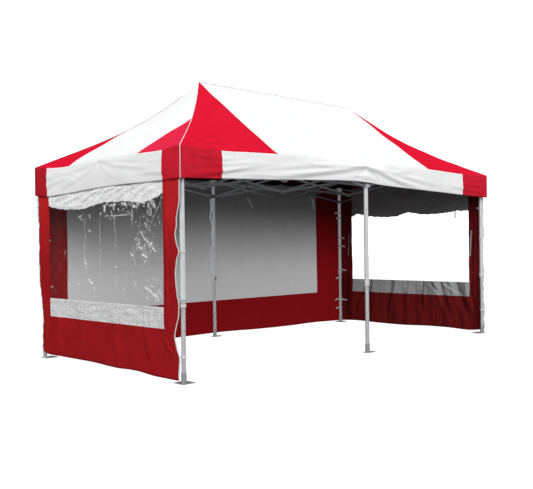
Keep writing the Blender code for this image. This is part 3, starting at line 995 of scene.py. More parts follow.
@dataclass
class RoofCover:
    """The one-piece roof cover: four curved slopes, a hanging valance all round, piping on the hips."""

    eave: float = 2.43
    hip_sag: float = 0.50
    hip_skew: float = 0.53
    seam_sag: float = 0.04
    end_sag: float = 0.38
    lean_reach: float = 0.65
    end_lean_reach: float = 1.15
    hip_flat: float = 0.12
    eave_flat: float = 0.06
    ridge_flat: float = 0.08
    eave_hold: int = 6
    corner_reach: float = 0.25
    corner_flat: float = 0.10
    hem_start: float = 0.14
    belly: float = 0.006
    side_shift: float = 3.7
    slope_length: float = 1.85
    seam_steepness: float = 1.2
    spacing: float = 0.022
    rows: int = 34
    middle_columns: int = 110
    drops: int = 20
    thick: float = 0.0018
    corner_seams: tuple[float, float] = (2.44, 2.30)
    corner_short: float = 0.30
    gore_leans: tuple[float, float] = (-0.09, -0.08)
    end_red_top: float = 0.66
    end_red_leans: tuple[float, float] = (0.0, 0.09)
    corner_rise: float = 0.003
    piping_radius: float = 0.0045
    piping_start: float = 0.10
    piping_lift: float = 0.002
    piping_gap: float = 0.02
    bulge_way: Point = (0.5, 0.85)
    eave_front: Outline = Outline((
        (-3.0, 2.433), (-2.69, 2.420), (-2.40, 2.415), (-2.0, 2.428), (-1.5, 2.441), (-1.0, 2.439),
        (-0.45, 2.427), (0.0, 2.421), (0.45, 2.431), (1.0, 2.439), (1.5, 2.438), (2.27, 2.420), (3.0, 2.433)))
    hem_front: Outline = Outline((
        (-3.0, 2.098), (-2.43, 2.119), (-1.6, 2.147), (-1.0, 2.174), (-0.5, 2.192), (-0.2, 2.197),
        (0.05, 2.191), (0.3, 2.172), (0.8, 2.155), (1.74, 2.128), (2.4, 2.107), (3.0, 2.093)))
    eave_end: Outline = Outline((
        (-1.5, 2.433), (-1.19, 2.406), (-0.71, 2.389), (-0.32, 2.412), (0.03, 2.420), (0.39, 2.406),
        (0.73, 2.412), (1.2, 2.410), (1.5, 2.433)))
    hem_end: Outline = Outline((
        (-1.5, 2.072), (-1.2, 2.047), (-0.82, 2.055), (-0.45, 2.069), (0.0, 2.088), (0.5, 2.096),
        (1.0, 2.092), (1.5, 2.098)))
    front_folds: tuple[Fold, ...] = (
        Fold(((-0.02, 2.40), (-0.45, 2.335), (-1.05, 2.255), (-1.85, 2.165)), 0.038, 0.017, True),
        Fold(((-0.05, 2.41), (-0.62, 2.375), (-1.35, 2.315), (-1.95, 2.255)), 0.030, 0.009, True),
        Fold(((0.03, 2.40), (0.38, 2.315), (0.75, 2.235), (1.25, 2.165)), 0.034, 0.016, True),
        Fold(((0.10, 2.39), (0.62, 2.335), (1.35, 2.255), (1.95, 2.195)), 0.034, 0.008, True),
        Fold(((0.02, 2.395), (0.22, 2.30), (0.34, 2.20)), 0.028, 0.010, True),
        Fold(((-0.02, 2.395), (-0.17, 2.31), (-0.26, 2.215)), 0.026, 0.006, True),
        Fold(((-0.30, 2.262), (-0.08, 2.272), (0.20, 2.258)), 0.016, 0.007),
        Fold(((-0.20, 2.238), (0.02, 2.244), (0.26, 2.228)), 0.014, 0.006),
        Fold(((-2.97, 2.145), (-2.65, 2.175), (-2.30, 2.225), (-1.75, 2.285)), 0.030, 0.011),
        Fold(((-2.95, 2.235), (-2.55, 2.262), (-2.15, 2.300), (-1.55, 2.345)), 0.030, 0.008),
        Fold(((-2.98, 2.36), (-2.6, 2.335), (-2.2, 2.345)), 0.026, 0.007),
        Fold(((2.97, 2.150), (2.62, 2.185), (2.25, 2.215), (1.80, 2.235)), 0.030, 0.010),
        Fold(((2.96, 2.260), (2.50, 2.262), (2.10, 2.285)), 0.028, 0.008),
        Fold(((2.98, 2.37), (2.62, 2.345), (2.30, 2.325)), 0.026, 0.006),
        Fold(((-2.98, 2.12), (-2.62, 2.150), (-2.20, 2.235), (-1.60, 2.330)), 0.018, 0.006),
        Fold(((-2.90, 2.30), (-2.60, 2.285), (-2.35, 2.330), (-1.95, 2.385)), 0.016, 0.005),
        Fold(((-2.20, 2.175), (-1.80, 2.190), (-1.30, 2.185)), 0.014, 0.004),
        Fold(((-1.3, 2.39), (-0.95, 2.365), (-0.5, 2.345)), 0.026, 0.006),
        Fold(((1.1, 2.385), (0.8, 2.365), (0.45, 2.335)), 0.024, 0.005),
    )
    end_folds: tuple[Fold, ...] = (
        Fold(((0.02, 2.405), (0.30, 2.335), (0.72, 2.270), (1.15, 2.245)), 0.026, 0.0046, True),
        Fold(((0.05, 2.40), (0.42, 2.375), (0.90, 2.330)), 0.022, 0.0040, True),
        Fold(((-0.02, 2.405), (-0.35, 2.350), (-0.80, 2.310), (-1.20, 2.335)), 0.028, 0.0042, True),
        Fold(((-0.05, 2.39), (-0.25, 2.28), (-0.62, 2.185), (-1.05, 2.12)), 0.028, 0.0044, True),
        Fold(((0.0, 2.38), (0.16, 2.25), (0.45, 2.15)), 0.024, 0.0026, True),
        Fold(((-1.42, 2.13), (-1.05, 2.21), (-0.60, 2.255)), 0.030, 0.0050),
        Fold(((1.42, 2.15), (1.10, 2.19), (0.70, 2.205)), 0.028, 0.0050),
        Fold(((-1.44, 2.34), (-1.12, 2.28), (-0.85, 2.225)), 0.022, 0.0037),
        Fold(((0.10, 2.33), (0.40, 2.315), (0.72, 2.325)), 0.014, 0.0030),
        Fold(((0.22, 2.28), (0.46, 2.285), (0.66, 2.300)), 0.012, 0.0026),
        Fold(((-0.75, 2.33), (-0.45, 2.25), (-0.30, 2.16)), 0.016, 0.0030),
        Fold(((-1.05, 2.33), (-0.80, 2.25), (-0.62, 2.14)), 0.014, 0.0026),
        Fold(((0.80, 2.34), (1.10, 2.30), (1.40, 2.31)), 0.014, 0.0026),
        Fold(((-1.40, 2.26), (-1.22, 2.20), (-1.10, 2.12)), 0.014, 0.0026),
    )
    gore_folds: tuple[Fold, ...] = (
        Fold(((-2.92, 1.80), (-2.20, 1.76), (-1.60, 1.74)), 0.030, 0.016),
        Fold(((-2.92, 1.78), (-2.25, 1.62), (-1.65, 1.50)), 0.034, 0.019),
        Fold(((-2.90, 1.75), (-2.40, 1.50), (-1.75, 1.22)), 0.034, 0.019),
        Fold(((-2.86, 1.68), (-2.42, 1.36), (-1.92, 1.00)), 0.032, 0.017),
        Fold(((-2.70, 1.50), (-2.36, 1.16), (-1.95, 0.72)), 0.030, 0.015),
        Fold(((-2.80, 1.72), (-2.55, 1.66), (-2.20, 1.64)), 0.018, 0.009),
    )
    slope_crumple: Crumple = Crumple(11, 0.0032, 0.35, 1.3, 1.0, 20)
    valance_crumple: Crumple = Crumple(23, 0.0026, 0.10, 0.6, 0.5, 22)

    def __post_init__(self) -> None:
        """Reads the roof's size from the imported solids."""
        low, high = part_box("roof_front")
        _, end_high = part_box("roof_right")
        self.half_long = float(end_high[0])
        self.half_short = float(-low[1])
        self.peak = float(high[2])
        self.ridge_half = self.half_long - self.half_short

    def height(self, fall: Array, flat_sag: float, toward_hip: Array) -> Array:
        """Height of a slope.

        Args:
            fall: How far down it is, from 0 on the ridge to 1 on the eave.
            flat_sag: The hang where the slope is nearly flat.
            toward_hip: 0 there, and 1 on the hip, which hangs more and mostly in its upper half.

        Returns:
            The heights.
        """
        sag = flat_sag + (self.hip_sag - flat_sag) * toward_hip ** 2
        hang = sag * fall * (1 - fall) * (1 + self.hip_skew * (1 - 2 * fall))
        return self.peak - (self.peak - self.eave) * (fall + hang)

    def stations(self) -> Array:
        """Steps down a hip, with one at every seam that meets the hip or the eave.

        Returns:
            Shares from 0 at the peak to 1 at the corner.
        """
        seams = [self.end_red_top, self.half_short - self.corner_short]
        seams += [seam - self.ridge_half for seam in self.corner_seams]
        cuts = [0.0] + sorted(seam / self.half_short for seam in seams) + [1.0]
        pieces = [np.linspace(a, b, max(2, round((b - a) * self.half_short / self.spacing) + 1))[:-1]
                  for a, b in zip(cuts, cuts[1:])]
        return np.concatenate(pieces + [np.array([1.0])])

    def columns(self, face: Face) -> Array:
        """Places of a side's columns before they lean.

        Args:
            face: The side.

        Returns:
            The places along it.
        """
        if face.long:
            gore = self.ridge_half + self.half_short * self.stations()
            middle = np.linspace(-self.ridge_half, self.ridge_half, self.middle_columns + 1)
            return np.concatenate([-gore[::-1], middle[1:-1], gore])
        half = self.half_short * self.stations()
        return np.concatenate([-half[::-1], half[1:]])

    def lean(self, face: Face, along: Array) -> Array:
        """How far columns have moved along the side where they reach the eave.

        Args:
            face: The side.
            along: The columns' places on the ridge.

        Returns:
            The moves.
        """
        if face.long:
            left, right = self.gore_leans if face is Face.FRONT else (-v for v in self.gore_leans[::-1])
            near = np.clip(1 - abs(np.abs(along) - self.ridge_half) / self.lean_reach, 0, 1)
            return near * np.where(along < 0, left, right)
        left, right = self.end_red_leans if face is Face.LEFT else self.end_red_leans[::-1]
        away = np.abs(along)
        up = np.clip(away / self.end_red_top, 0, 1)
        down = np.clip((self.end_lean_reach - away) / (self.end_lean_reach - self.end_red_top), 0, 1)
        return np.where(along < 0, -left, right) * up * down

    def side_grid(self, face: Face, shift: float) -> tuple[Array, Array, Array, Array]:
        """A side's columns and rows before they are placed.

        Args:
            face: The side.
            shift: How far the seeded crumples are moved, so that no two sides are alike.

        Returns:
            Places along the side, distances out, heights, and for each row and column the fall.
        """
        base = self.columns(face)
        start = 0.0 if face.long else self.ridge_half
        apex = self.ridge_half if face.long else 0.0
        first = np.maximum(np.abs(base) - apex, 0) / self.half_short
        rows = np.linspace(0, 1, self.rows + 1)[:, None]
        fall = first[None, :] + (1 - first[None, :]) * rows
        spread = base + self.lean(face, base) * rows
        toward = np.clip((np.abs(spread) - apex) / np.maximum(self.half_short * fall, TINY), 0, 1)
        toward = np.where(rows == 0, (first > 0) | (not face.long), toward)
        level = self.height(fall, self.seam_sag if face.long else self.end_sag, toward)
        hip_away = np.maximum(fall - first[None, :], 0) * self.half_short
        level = level + (self.eave_level(face, spread, hip_away) - self.eave) * fall ** self.eave_hold
        inner = smooth(hip_away / self.hip_flat) * smooth((1 - fall) / self.eave_flat)
        ridge_away = smooth(fall / self.ridge_flat) if face.long else 1.0
        down = fall * self.slope_length
        bulge = self.slope_crumple.at(spread + shift, down)
        if face.long:
            bulge = bulge + sum(fold.at(-np.abs(spread), down) for fold in self.gore_folds)
        bulge = bulge * inner * ridge_away
        outward, upward = self.bulge_way
        return spread, start + self.half_short * fall + bulge * outward, level + bulge * upward, fall

    def eave_level(self, face: Face, along: Array, hip_away: Array) -> Array:
        """Height of the eave, the same on both sides of a corner.

        Args:
            face: The side.
            along: Places along it.
            hip_away: Their distances from the nearest hip.

        Returns:
            The heights.
        """
        measured = self.outline(face, "eave").at(along)
        share = smooth(hip_away / self.corner_reach)
        return measured * share + (self.eave + self.corner_rise) * (1 - share)

    def outline(self, face: Face, edge: str) -> Outline:
        """The eave or hem of a side. The back mirrors the front, and the right end the left one.

        Args:
            face: The side.
            edge: Which edge, eave or hem.

        Returns:
            Its outline.
        """
        found = getattr(self, f"{edge}_front" if face.long else f"{edge}_end")
        return found.mirrored() if face in (Face.BACK, Face.RIGHT) else found

    def valance_grid(self, face: Face, shift: float) -> tuple[Array, Array, Array]:
        """A side's valance, from the eave down.

        Args:
            face: The side.
            shift: How far the seeded crumples are moved.

        Returns:
            Places along the side, distances out, and heights.
        """
        half = self.half_long if face.long else self.half_short
        edge = self.half_short if face.long else self.half_long
        drop = np.linspace(0, 1, self.drops + 1)[:, None]
        base = self.columns(face)
        # The slope's leaning columns end where the valance's begin, and stand upright below that.
        along = base + self.lean(face, base)
        eave = self.eave_level(face, along, half - np.abs(base))
        hem = self.outline(face, "hem").at(along)
        level = eave + (hem - eave) * drop
        spread = np.broadcast_to(along, level.shape)
        folds = self.front_folds if face.long else self.end_folds
        if face in (Face.BACK, Face.RIGHT):
            folds = tuple(fold.mirrored() for fold in folds)
        lift = total_of(folds, spread, level) + self.valance_crumple.at(spread + shift, level)
        corner = smooth((half - np.abs(spread)) / self.corner_flat)
        top = smooth(drop / self.hem_start)
        belly = self.belly * np.sin(math.pi * drop)
        return spread, edge + (lift * top + belly) * corner, level

    def seams(self, face: Face, on_slope: bool) -> tuple[float, float]:
        """How far from the middle the left and the right seam are before they lean.

        Args:
            face: The side.
            on_slope: Whether the slope's seams are meant, and not the valance's.

        Returns:
            The two distances.
        """
        if face.long:
            if on_slope:
                return self.ridge_half, self.ridge_half
            return self.corner_seams if face is Face.FRONT else self.corner_seams[::-1]
        seam = self.end_red_top if on_slope else self.half_short - self.corner_short
        return seam, seam

    def tint(self, face: Face, rows: int, on_slope: bool) -> Array:
        """Each cell's finish: 0 white slope, 1 red slope, 2 white valance, 3 red valance.

        On the two ends 4 is the front red of the slope, a lighter copy with a painted sky sheen, and 5 the
        back red of the valance, a darker copy with painted shade.

        Args:
            face: The side.
            rows: How many rows of points it has.
            on_slope: Whether it is the slope, and not the valance.

        Returns:
            The finish numbers.
        """
        base = self.columns(face)
        middle = (base[:-1] + base[1:]) / 2
        left, right = self.seams(face, on_slope)
        red = (middle < -left) | (middle > right)
        number = red + (0 if on_slope else 2)
        if not face.long:
            to_front = middle > 0 if face is Face.LEFT else middle < 0
            number = np.where(red & (to_front == on_slope), 4 if on_slope else 5, number)
        return np.broadcast_to(number, (rows - 1, len(middle)))

    def seam_distance(self, face: Face, fall: Array | None, level: Array) -> Array:
        """Distance of each point to the nearest seam or hem.

        Args:
            face: The side.
            fall: How far down the slope the points are, or nothing on the valance.
            level: Their heights.

        Returns:
            The distances.
        """
        base = self.columns(face)[None, :]
        left, right = self.seams(face, fall is not None)
        away = np.minimum(np.abs(base + left), np.abs(base - right))
        if fall is not None:
            return np.minimum(away, (1 - fall) * self.half_short * self.seam_steepness)
        return np.minimum(away, level - level[-1:, :])

    def hip(self, side_x: int, side_y: int) -> list[Vector]:
        """Points of the piping down a hip and down the corner of the valance.

        Args:
            side_x: The end of the tent, -1 or 1.
            side_y: Its front, -1, or its back, 1.

        Returns:
            The points.
        """
        points = []
        for fall in np.linspace(self.piping_start, 1, 41):
            level = float(self.height(fall, self.end_sag, 1.0)) + self.corner_rise * fall ** self.eave_hold
            points.append(Vector((side_x * (self.ridge_half + self.half_short * fall),
                                  side_y * self.half_short * fall, level + self.piping_lift)))
        corner = points[-1]
        lowest = self.hem_front if side_y < 0 or side_x > 0 else self.hem_end
        out = Vector((side_x, side_y, 0)).normalized() * self.piping_lift
        for level in np.linspace(self.eave - self.piping_gap, lowest.points[0][1], 8):
            points.append(Vector((corner.x, corner.y, float(level))) + out)
        return points

    def build(self) -> list[bpy.types.Object]:
        """Makes the cover, its piping and the ridge welt.

        Returns:
            The four pieces.
        """
        mesher = Mesher()
        for number, face in enumerate(Face):
            shift = self.side_shift * number
            spread, out, level, fall = self.side_grid(face, shift)
            mesher.add(face.place(spread, out, level), self.tint(face, len(level), True),
                       self.seam_distance(face, fall, level))
            spread, out, level = self.valance_grid(face, shift)
            mesher.add(face.place(spread, out, level), self.tint(face, len(level), False),
                       self.seam_distance(face, None, level))
        # The underside's finishes follow the outer ones; they are painted dark for the shade under the roof.
        finishes = ("white_roof", "red_roof", "white_valance", "red_valance", "red_end", "red_corner",
                    "roof_lining", "red_lining", "roof_lining", "red_lining", "red_lining", "red_lining")
        cover = mesher.build("roof_cover", finishes, "seam", self.thick, True)
        settle(cover)
        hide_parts("roof_front", "roof_back", "roof_left", "roof_right", "valance_front",
                    "valance_back", "valance_left", "valance_right")
        piping = []
        # The back hips' piping is painted grey for shade.
        for row, side_y, finish in (("front", -1, "piping"), ("back", 1, "back_piping")):
            hips = [self.hip(side_x, side_y) for side_x in (-1, 1)]
            cord = cord_tube("hip_piping_" + row, hips, self.piping_radius, finish)
            piping.append(settle(cord))
        top = [Vector((float(x), 0.0, self.peak + self.piping_lift / 2))
               for x in np.linspace(-self.ridge_half, self.ridge_half, 21)]
        ridge = settle(cord_tube("ridge_welt", [top], self.piping_radius * 0.8, "ridge"))
        return [cover, *piping, ridge]


@dataclass
class HungWall:
    """One cloth wall, hung from the eave on the inside of the valance."""

    face: Face
    node: str
    thick: float = 0.0012
    step: float = 0.03
    top: float = 2.40
    top_flat: float = 0.25
    red_low: float = 0.55
    leg_width: float = 0.22
    leg_run: float = 0.10
    edge_reach: float = 0.30
    hem: Outline = Outline(((-3.0, 0.04), (3.0, 0.04)))
    left_edge: Outline = Outline(((0.0, 0.0), (2.4, 0.0)))
    right_edge: Outline = Outline(((0.0, 0.0), (2.4, 0.0)))
    folds: tuple[Fold, ...] = ()
    crumples: tuple[Crumple, ...] = ()
    seed: int = 5
    finishes: tuple[str, ...] = ("white_wall", "red_wall", "wall_inside", "red_inside")

    def __post_init__(self) -> None:
        """Reads the wall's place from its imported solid."""
        low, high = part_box(self.node)
        along, out = (0, 1) if self.face.long else (1, 0)
        self.half = float(high[along])
        self.plane = float(max(abs(low[out]), abs(high[out])))

    def spans(self, cuts: Sequence[float], finer: Sequence[float] = ()) -> Array:
        """Evenly filled stations between some cuts.

        Args:
            cuts: The places that have a station.
            finer: Each span's own share of the step, if they differ.

        Returns:
            The stations.
        """
        shares = finer or [1.0] * (len(cuts) - 1)
        pieces = [np.linspace(a, b, max(2, round((b - a) / (self.step * share)) + 1))[:-1]
                  for a, b, share in zip(cuts, cuts[1:], shares)]
        return np.concatenate(pieces + [np.array([cuts[-1]])])

    def lift(self, along: Array, level: Array) -> Array:
        """How far the sheet stands out of its plane, less at its top.

        Args:
            along: Places along the side.
            level: Heights.

        Returns:
            The distances.
        """
        total = total_of(self.folds, along, level) + total_of(self.crumples, along, level)
        total = total * smooth((self.top - level) / self.top_flat)
        # Beside the corner legs the sheet may only stand outwards.
        beside = smooth((np.abs(along) - (self.half - self.leg_width)) / self.leg_run)
        return np.where(total < 0, total * (1 - beside), total)

    def squeeze(self, along: Array, level: Array) -> Array:
        """Moves the upright edges in where they hang free between straps.

        Args:
            along: Places along the side.
            level: Heights.

        Returns:
            The moved places.
        """
        reach = self.edge_reach
        left = smooth((-self.half + reach - along) / reach)
        right = smooth((along - self.half + reach) / reach)
        return along + left * self.left_edge.at(level) - right * self.right_edge.at(level)

    def hang(self, mesher: Mesher, finishes: Sequence[str]) -> bpy.types.Object:
        """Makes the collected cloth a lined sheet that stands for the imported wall.

        Args:
            mesher: The cloth.
            finishes: Its finishes, outside and inside.

        Returns:
            The wall.
        """
        wall = settle(mesher.build(self.node + "_cloth", finishes, "seam", self.thick, True))
        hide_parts(self.node)
        return wall


@dataclass
class BackWall(HungWall):
    """The plain back wall: white, with red sides and a red lower border."""

    seam_left: float = 2.36
    seam_right: float = 2.56

    def build(self) -> list[bpy.types.Object]:
        """Makes the wall.

        Returns:
            The wall, alone in a list.
        """
        across = self.spans((-self.half, -self.seam_left, self.seam_right, self.half))
        levels = self.spans((0.0, self.red_low, self.top))[::-1]
        along, level = np.meshgrid(across, levels)
        hem = self.hem.at(along)
        level = np.where(level < self.red_low, hem + (self.red_low - hem) * level / self.red_low, level)
        middle = (along[:-1, :-1] + along[1:, 1:]) / 2
        high = (level[:-1, :-1] + level[1:, 1:]) / 2
        tint = ((middle < -self.seam_left) | (middle > self.seam_right) | (high < self.red_low)).astype(int)
        seam = np.minimum(np.abs(along + self.seam_left), np.abs(along - self.seam_right))
        seam = np.minimum(seam, np.minimum(np.abs(level - self.red_low), np.abs(level - hem)))
        mesher = Mesher()
        placed = self.face.place(self.squeeze(along, level), self.plane + self.lift(along, level), level)
        mesher.add(placed, tint, seam)
        wall = self.hang(mesher, self.finishes)
        return [wall]


@dataclass
class EndWall(HungWall):
    """An end wall: red sides and bottom, a white head and band, and a clear window between them."""

    film_node: str = ""
    window_half: float = 1.18
    window_low: float = 0.775
    window_high: float = 1.90
    hidden_from: float = 2.12
    rows: tuple[float, ...] = (1.4, 0.7, 1.6, 0.6, 2.0)
    fold_run: float = 0.06
    band_run: float = 0.03
    header: Outline = Outline(((-1.2, 1.89), (1.2, 1.89)))
    creases: tuple[Fold, ...] = ()
    head_folds: tuple[Fold, ...] = ()
    film_high: float = 1.15
    film_step: float = 0.009
    film_inset: float = 0.0035
    film_overlap: float = 0.012
    film_run: float = 0.08
    full_crease: float = 0.006
    loose_creases: int = 24
    crease_lengths: Point = (0.04, 0.16)
    crease_widths: Point = (0.006, 0.011)
    crease_heights: Point = (0.002, 0.005)
    patch_strokes: int = 14
    stroke_lengths: Point = (0.03, 0.10)
    stroke_widths: Point = (0.005, 0.008)
    stroke_heights: Point = (0.002, 0.0065)
    head_crinkle: float = 0.9
    gathers: int = 44
    gather_slant: float = 0.9
    gather_widths: Point = (0.008, 0.018)
    gather_heights: Point = (0.002, 0.009)
    band_crumple: Crumple = Crumple(71, 0.0022, 0.06, 0.20, 0.35, 14)
    patches: tuple[tuple[float, float, float, float], ...] = ()

    def build(self) -> list[bpy.types.Object]:
        """Makes the wall and its window."""
        return [self.build_cloth(), self.build_film()]

    def levels(self, even: Array, along: Array) -> Array:
        """Bends even rows to the hem and to the head's lower edge.

        Args:
            even: Heights in level rows.
            along: Places along the side.

        Returns:
            The heights of the bent rows.
        """
        hem, head = self.hem.at(along), self.head_edge(along)
        lower = hem + (self.red_low - hem) * even / self.red_low
        window = self.window_low + (head - self.window_low) * (even - self.window_low) / (
            self.window_high - self.window_low)
        upper = head + (self.top - head) * (even - self.window_high) / (self.top - self.window_high)
        return np.select([even <= self.red_low, even <= self.window_low, even <= self.window_high],
                         [lower, even, window], upper)

    def build_cloth(self) -> bpy.types.Object:
        """Makes the cloth with its opening.

        Returns:
            The wall.
        """
        across = self.spans((-self.half, -self.window_half, self.window_half, self.half))
        cuts = (0.0, self.red_low, self.window_low, self.window_high, self.hidden_from, self.top)
        rows = self.spans(cuts, self.rows)[::-1]
        along, even = np.meshgrid(across, rows)
        level = self.levels(even, along)
        row = ((rows[:-1] + rows[1:]) / 2)[:, None]
        outside = np.abs((across[:-1] + across[1:]) / 2)[None, :] > self.window_half
        red = outside | (row < self.red_low)
        tint = np.where(red, 1, np.where(row > self.window_high, 2, 3))
        keep = outside | (row < self.window_low) | (row > self.window_high)
        seam = np.abs(np.abs(along) - self.window_half)
        for edge in (self.hem.at(along), self.window_low, self.red_low, self.head_edge(along)):
            seam = np.minimum(seam, np.abs(level - edge))
        inner = smooth((self.window_half + self.fold_run - np.abs(along)) / self.fold_run)
        lift = self.lift(along, level)
        lift = lift + inner * total_of(list(self.head_folds) + self.gathered(), along, level)
        band = smooth((level - self.red_low) / self.band_run)
        band = band * smooth((self.window_low - level) / self.band_run)
        lift = lift + inner * band * self.band_crumple.at(along, level)
        mesher = Mesher()
        mesher.add(self.face.place(self.squeeze(along, level), self.plane + lift, level), tint, seam, keep)
        outer, lining = self.finishes[:2], self.finishes[2:]
        wall = self.hang(mesher, outer + ("white_head", "white_band") + lining + (lining[0], lining[0]))
        return wall

    def head_edge(self, along: Array) -> Array:
        """Height of the head strip's lower edge, which puckers."""
        pucker = Crumple(self.seed + 7, 0.0045, 0.05, 0.16)
        return self.header.at(along) + pucker.at(along, np.zeros(along.shape))

    def scattered(self) -> list[Fold]:
        """Short seeded creases, half of them anywhere in the window and half of them under its head.

        Returns:
            Those creases, and after them the strokes of the crinkled patches.
        """
        rng = np.random.default_rng(self.seed)
        found = []
        for number in range(self.loose_creases):
            if number % 2 == 0:
                along = rng.uniform(-0.35, self.window_half)
                level = rng.uniform(1.72, self.window_high)
                turn = rng.uniform(0.9, 2.2)
            else:
                along = rng.uniform(-1, 1) * self.window_half
                level = rng.uniform(self.window_low, 1.80)
                turn = rng.uniform(0, math.pi)
            length = rng.uniform(*self.crease_lengths)
            end = (along + length * math.cos(turn), level + length * math.sin(turn))
            found.append(Fold(((along, level), end), rng.uniform(*self.crease_widths),
                              rng.uniform(*self.crease_heights)))
        for centre_along, centre_level, wide, strength in self.patches:
            for _ in range(round(self.patch_strokes * strength)):
                along, level = rng.normal((centre_along, centre_level), 0.55 * wide)
                along = min(along, self.window_half - 0.04)
                turn = rng.uniform(-1.3, -0.1) if rng.random() < 0.7 else rng.uniform(0, math.pi)
                length = rng.uniform(*self.stroke_lengths)
                path = [(along, level)]
                for way in (turn, turn + rng.uniform(-0.6, 0.6)):
                    along -= length * math.cos(way) / 2
                    level -= length * math.sin(way) / 2
                    path.append((along, level))
                found.append(Fold(tuple(path), rng.uniform(*self.stroke_widths),
                                  rng.uniform(*self.stroke_heights)))
        return found

    def gathered(self) -> list[Fold]:
        """Short seeded folds of the head's strip, which slant as they hang from the eave.

        Returns:
            The folds.
        """
        rng = np.random.default_rng(self.seed + 100)
        found = []
        for along in np.linspace(-self.window_half, self.window_half, self.gathers):
            place = along + rng.uniform(-0.03, 0.03)
            head = float(self.header.at(np.array(place)))
            top = head + rng.uniform(0.35, 1.0) * (2.10 - head)
            foot = head + rng.uniform(-0.01, 0.06)
            slant = rng.uniform(-0.2, 2.2) * self.gather_slant * (top - foot) / 2
            found.append(Fold(((place + slant, top), (place - slant, foot)), rng.uniform(*self.gather_widths),
                              rng.uniform(*self.gather_heights), rng.random() < 0.5))
        return found

    def crinkled(self, along: Array, level: Array) -> Array:
        """How crinkled the film is, in its patches and along its head: where glint lines are painted.

        Args:
            along: Places along the side.
            level: Heights.

        Returns:
            Shares from 0 to 1.
        """
        total = smooth((level - self.header.at(along) + 0.10) / 0.09) * smooth((along + 0.5) / 0.5)
        total = total * self.head_crinkle
        for centre_along, centre_level, wide, strength in self.patches:
            away = np.hypot(along - centre_along, level - centre_level) / wide
            total = np.maximum(total, strength * np.exp(-away ** 2))
        return total

    def build_film(self) -> bpy.types.Object:
        """Makes the clear window with its creases.

        Returns:
            The film.
        """
        half = self.window_half + self.film_overlap
        across = np.arange(-half, half + self.film_step / 2, 2 * half / round(2 * half / self.film_step))
        share = np.linspace(1, 0, round(self.film_high / self.film_step))[:, None]
        head = self.head_edge(across) + self.film_overlap
        low = self.window_low - self.film_overlap
        level = low + (head - low) * share
        along = np.broadcast_to(across, level.shape)
        inner = np.minimum(np.minimum(half - np.abs(along), level - low), head - level)
        inner = smooth(inner / self.film_run)
        lift = self.lift(along, level) + Crumple(self.seed, 0.0035, 0.14, 0.5).at(along, level) * inner
        # The crease mark tells the film where its glints are painted.
        crease = np.zeros(level.shape)
        for fold in list(self.creases) + self.scattered():
            away, run = fold.measure(along, level)
            fade = smooth(run / 0.2) * smooth((1 - run) / 0.2)
            strength = min(1, fold.height / self.full_crease)
            crease = np.maximum(crease, np.exp(-(away / fold.width) ** 2) * fade * strength)
            lift = lift + fold.at(along, level) * 0.7
        mesher = Mesher()
        placed = self.face.place(self.squeeze(along, level), self.plane - self.film_inset + lift, level)
        mesher.add(placed, np.zeros((level.shape[0] - 1, level.shape[1] - 1), int), crease)
        film = mesher.build(self.film_node + "_film", ("film",), "crease")
        places = np.zeros(3 * len(film.data.vertices), np.float32)
        film.data.vertices.foreach_get("co", places)
        places = places.reshape(-1, 3)
        turned = places[:, 1] * self.face.value[0][1]
        layer = film.data.attributes.new("patch", "FLOAT", "POINT")
        layer.data.foreach_set("value", self.crinkled(turned, places[:, 2]).astype(np.float32))
        settle(film)
        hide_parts(self.film_node)
        self.node + "_cloth"
        return film


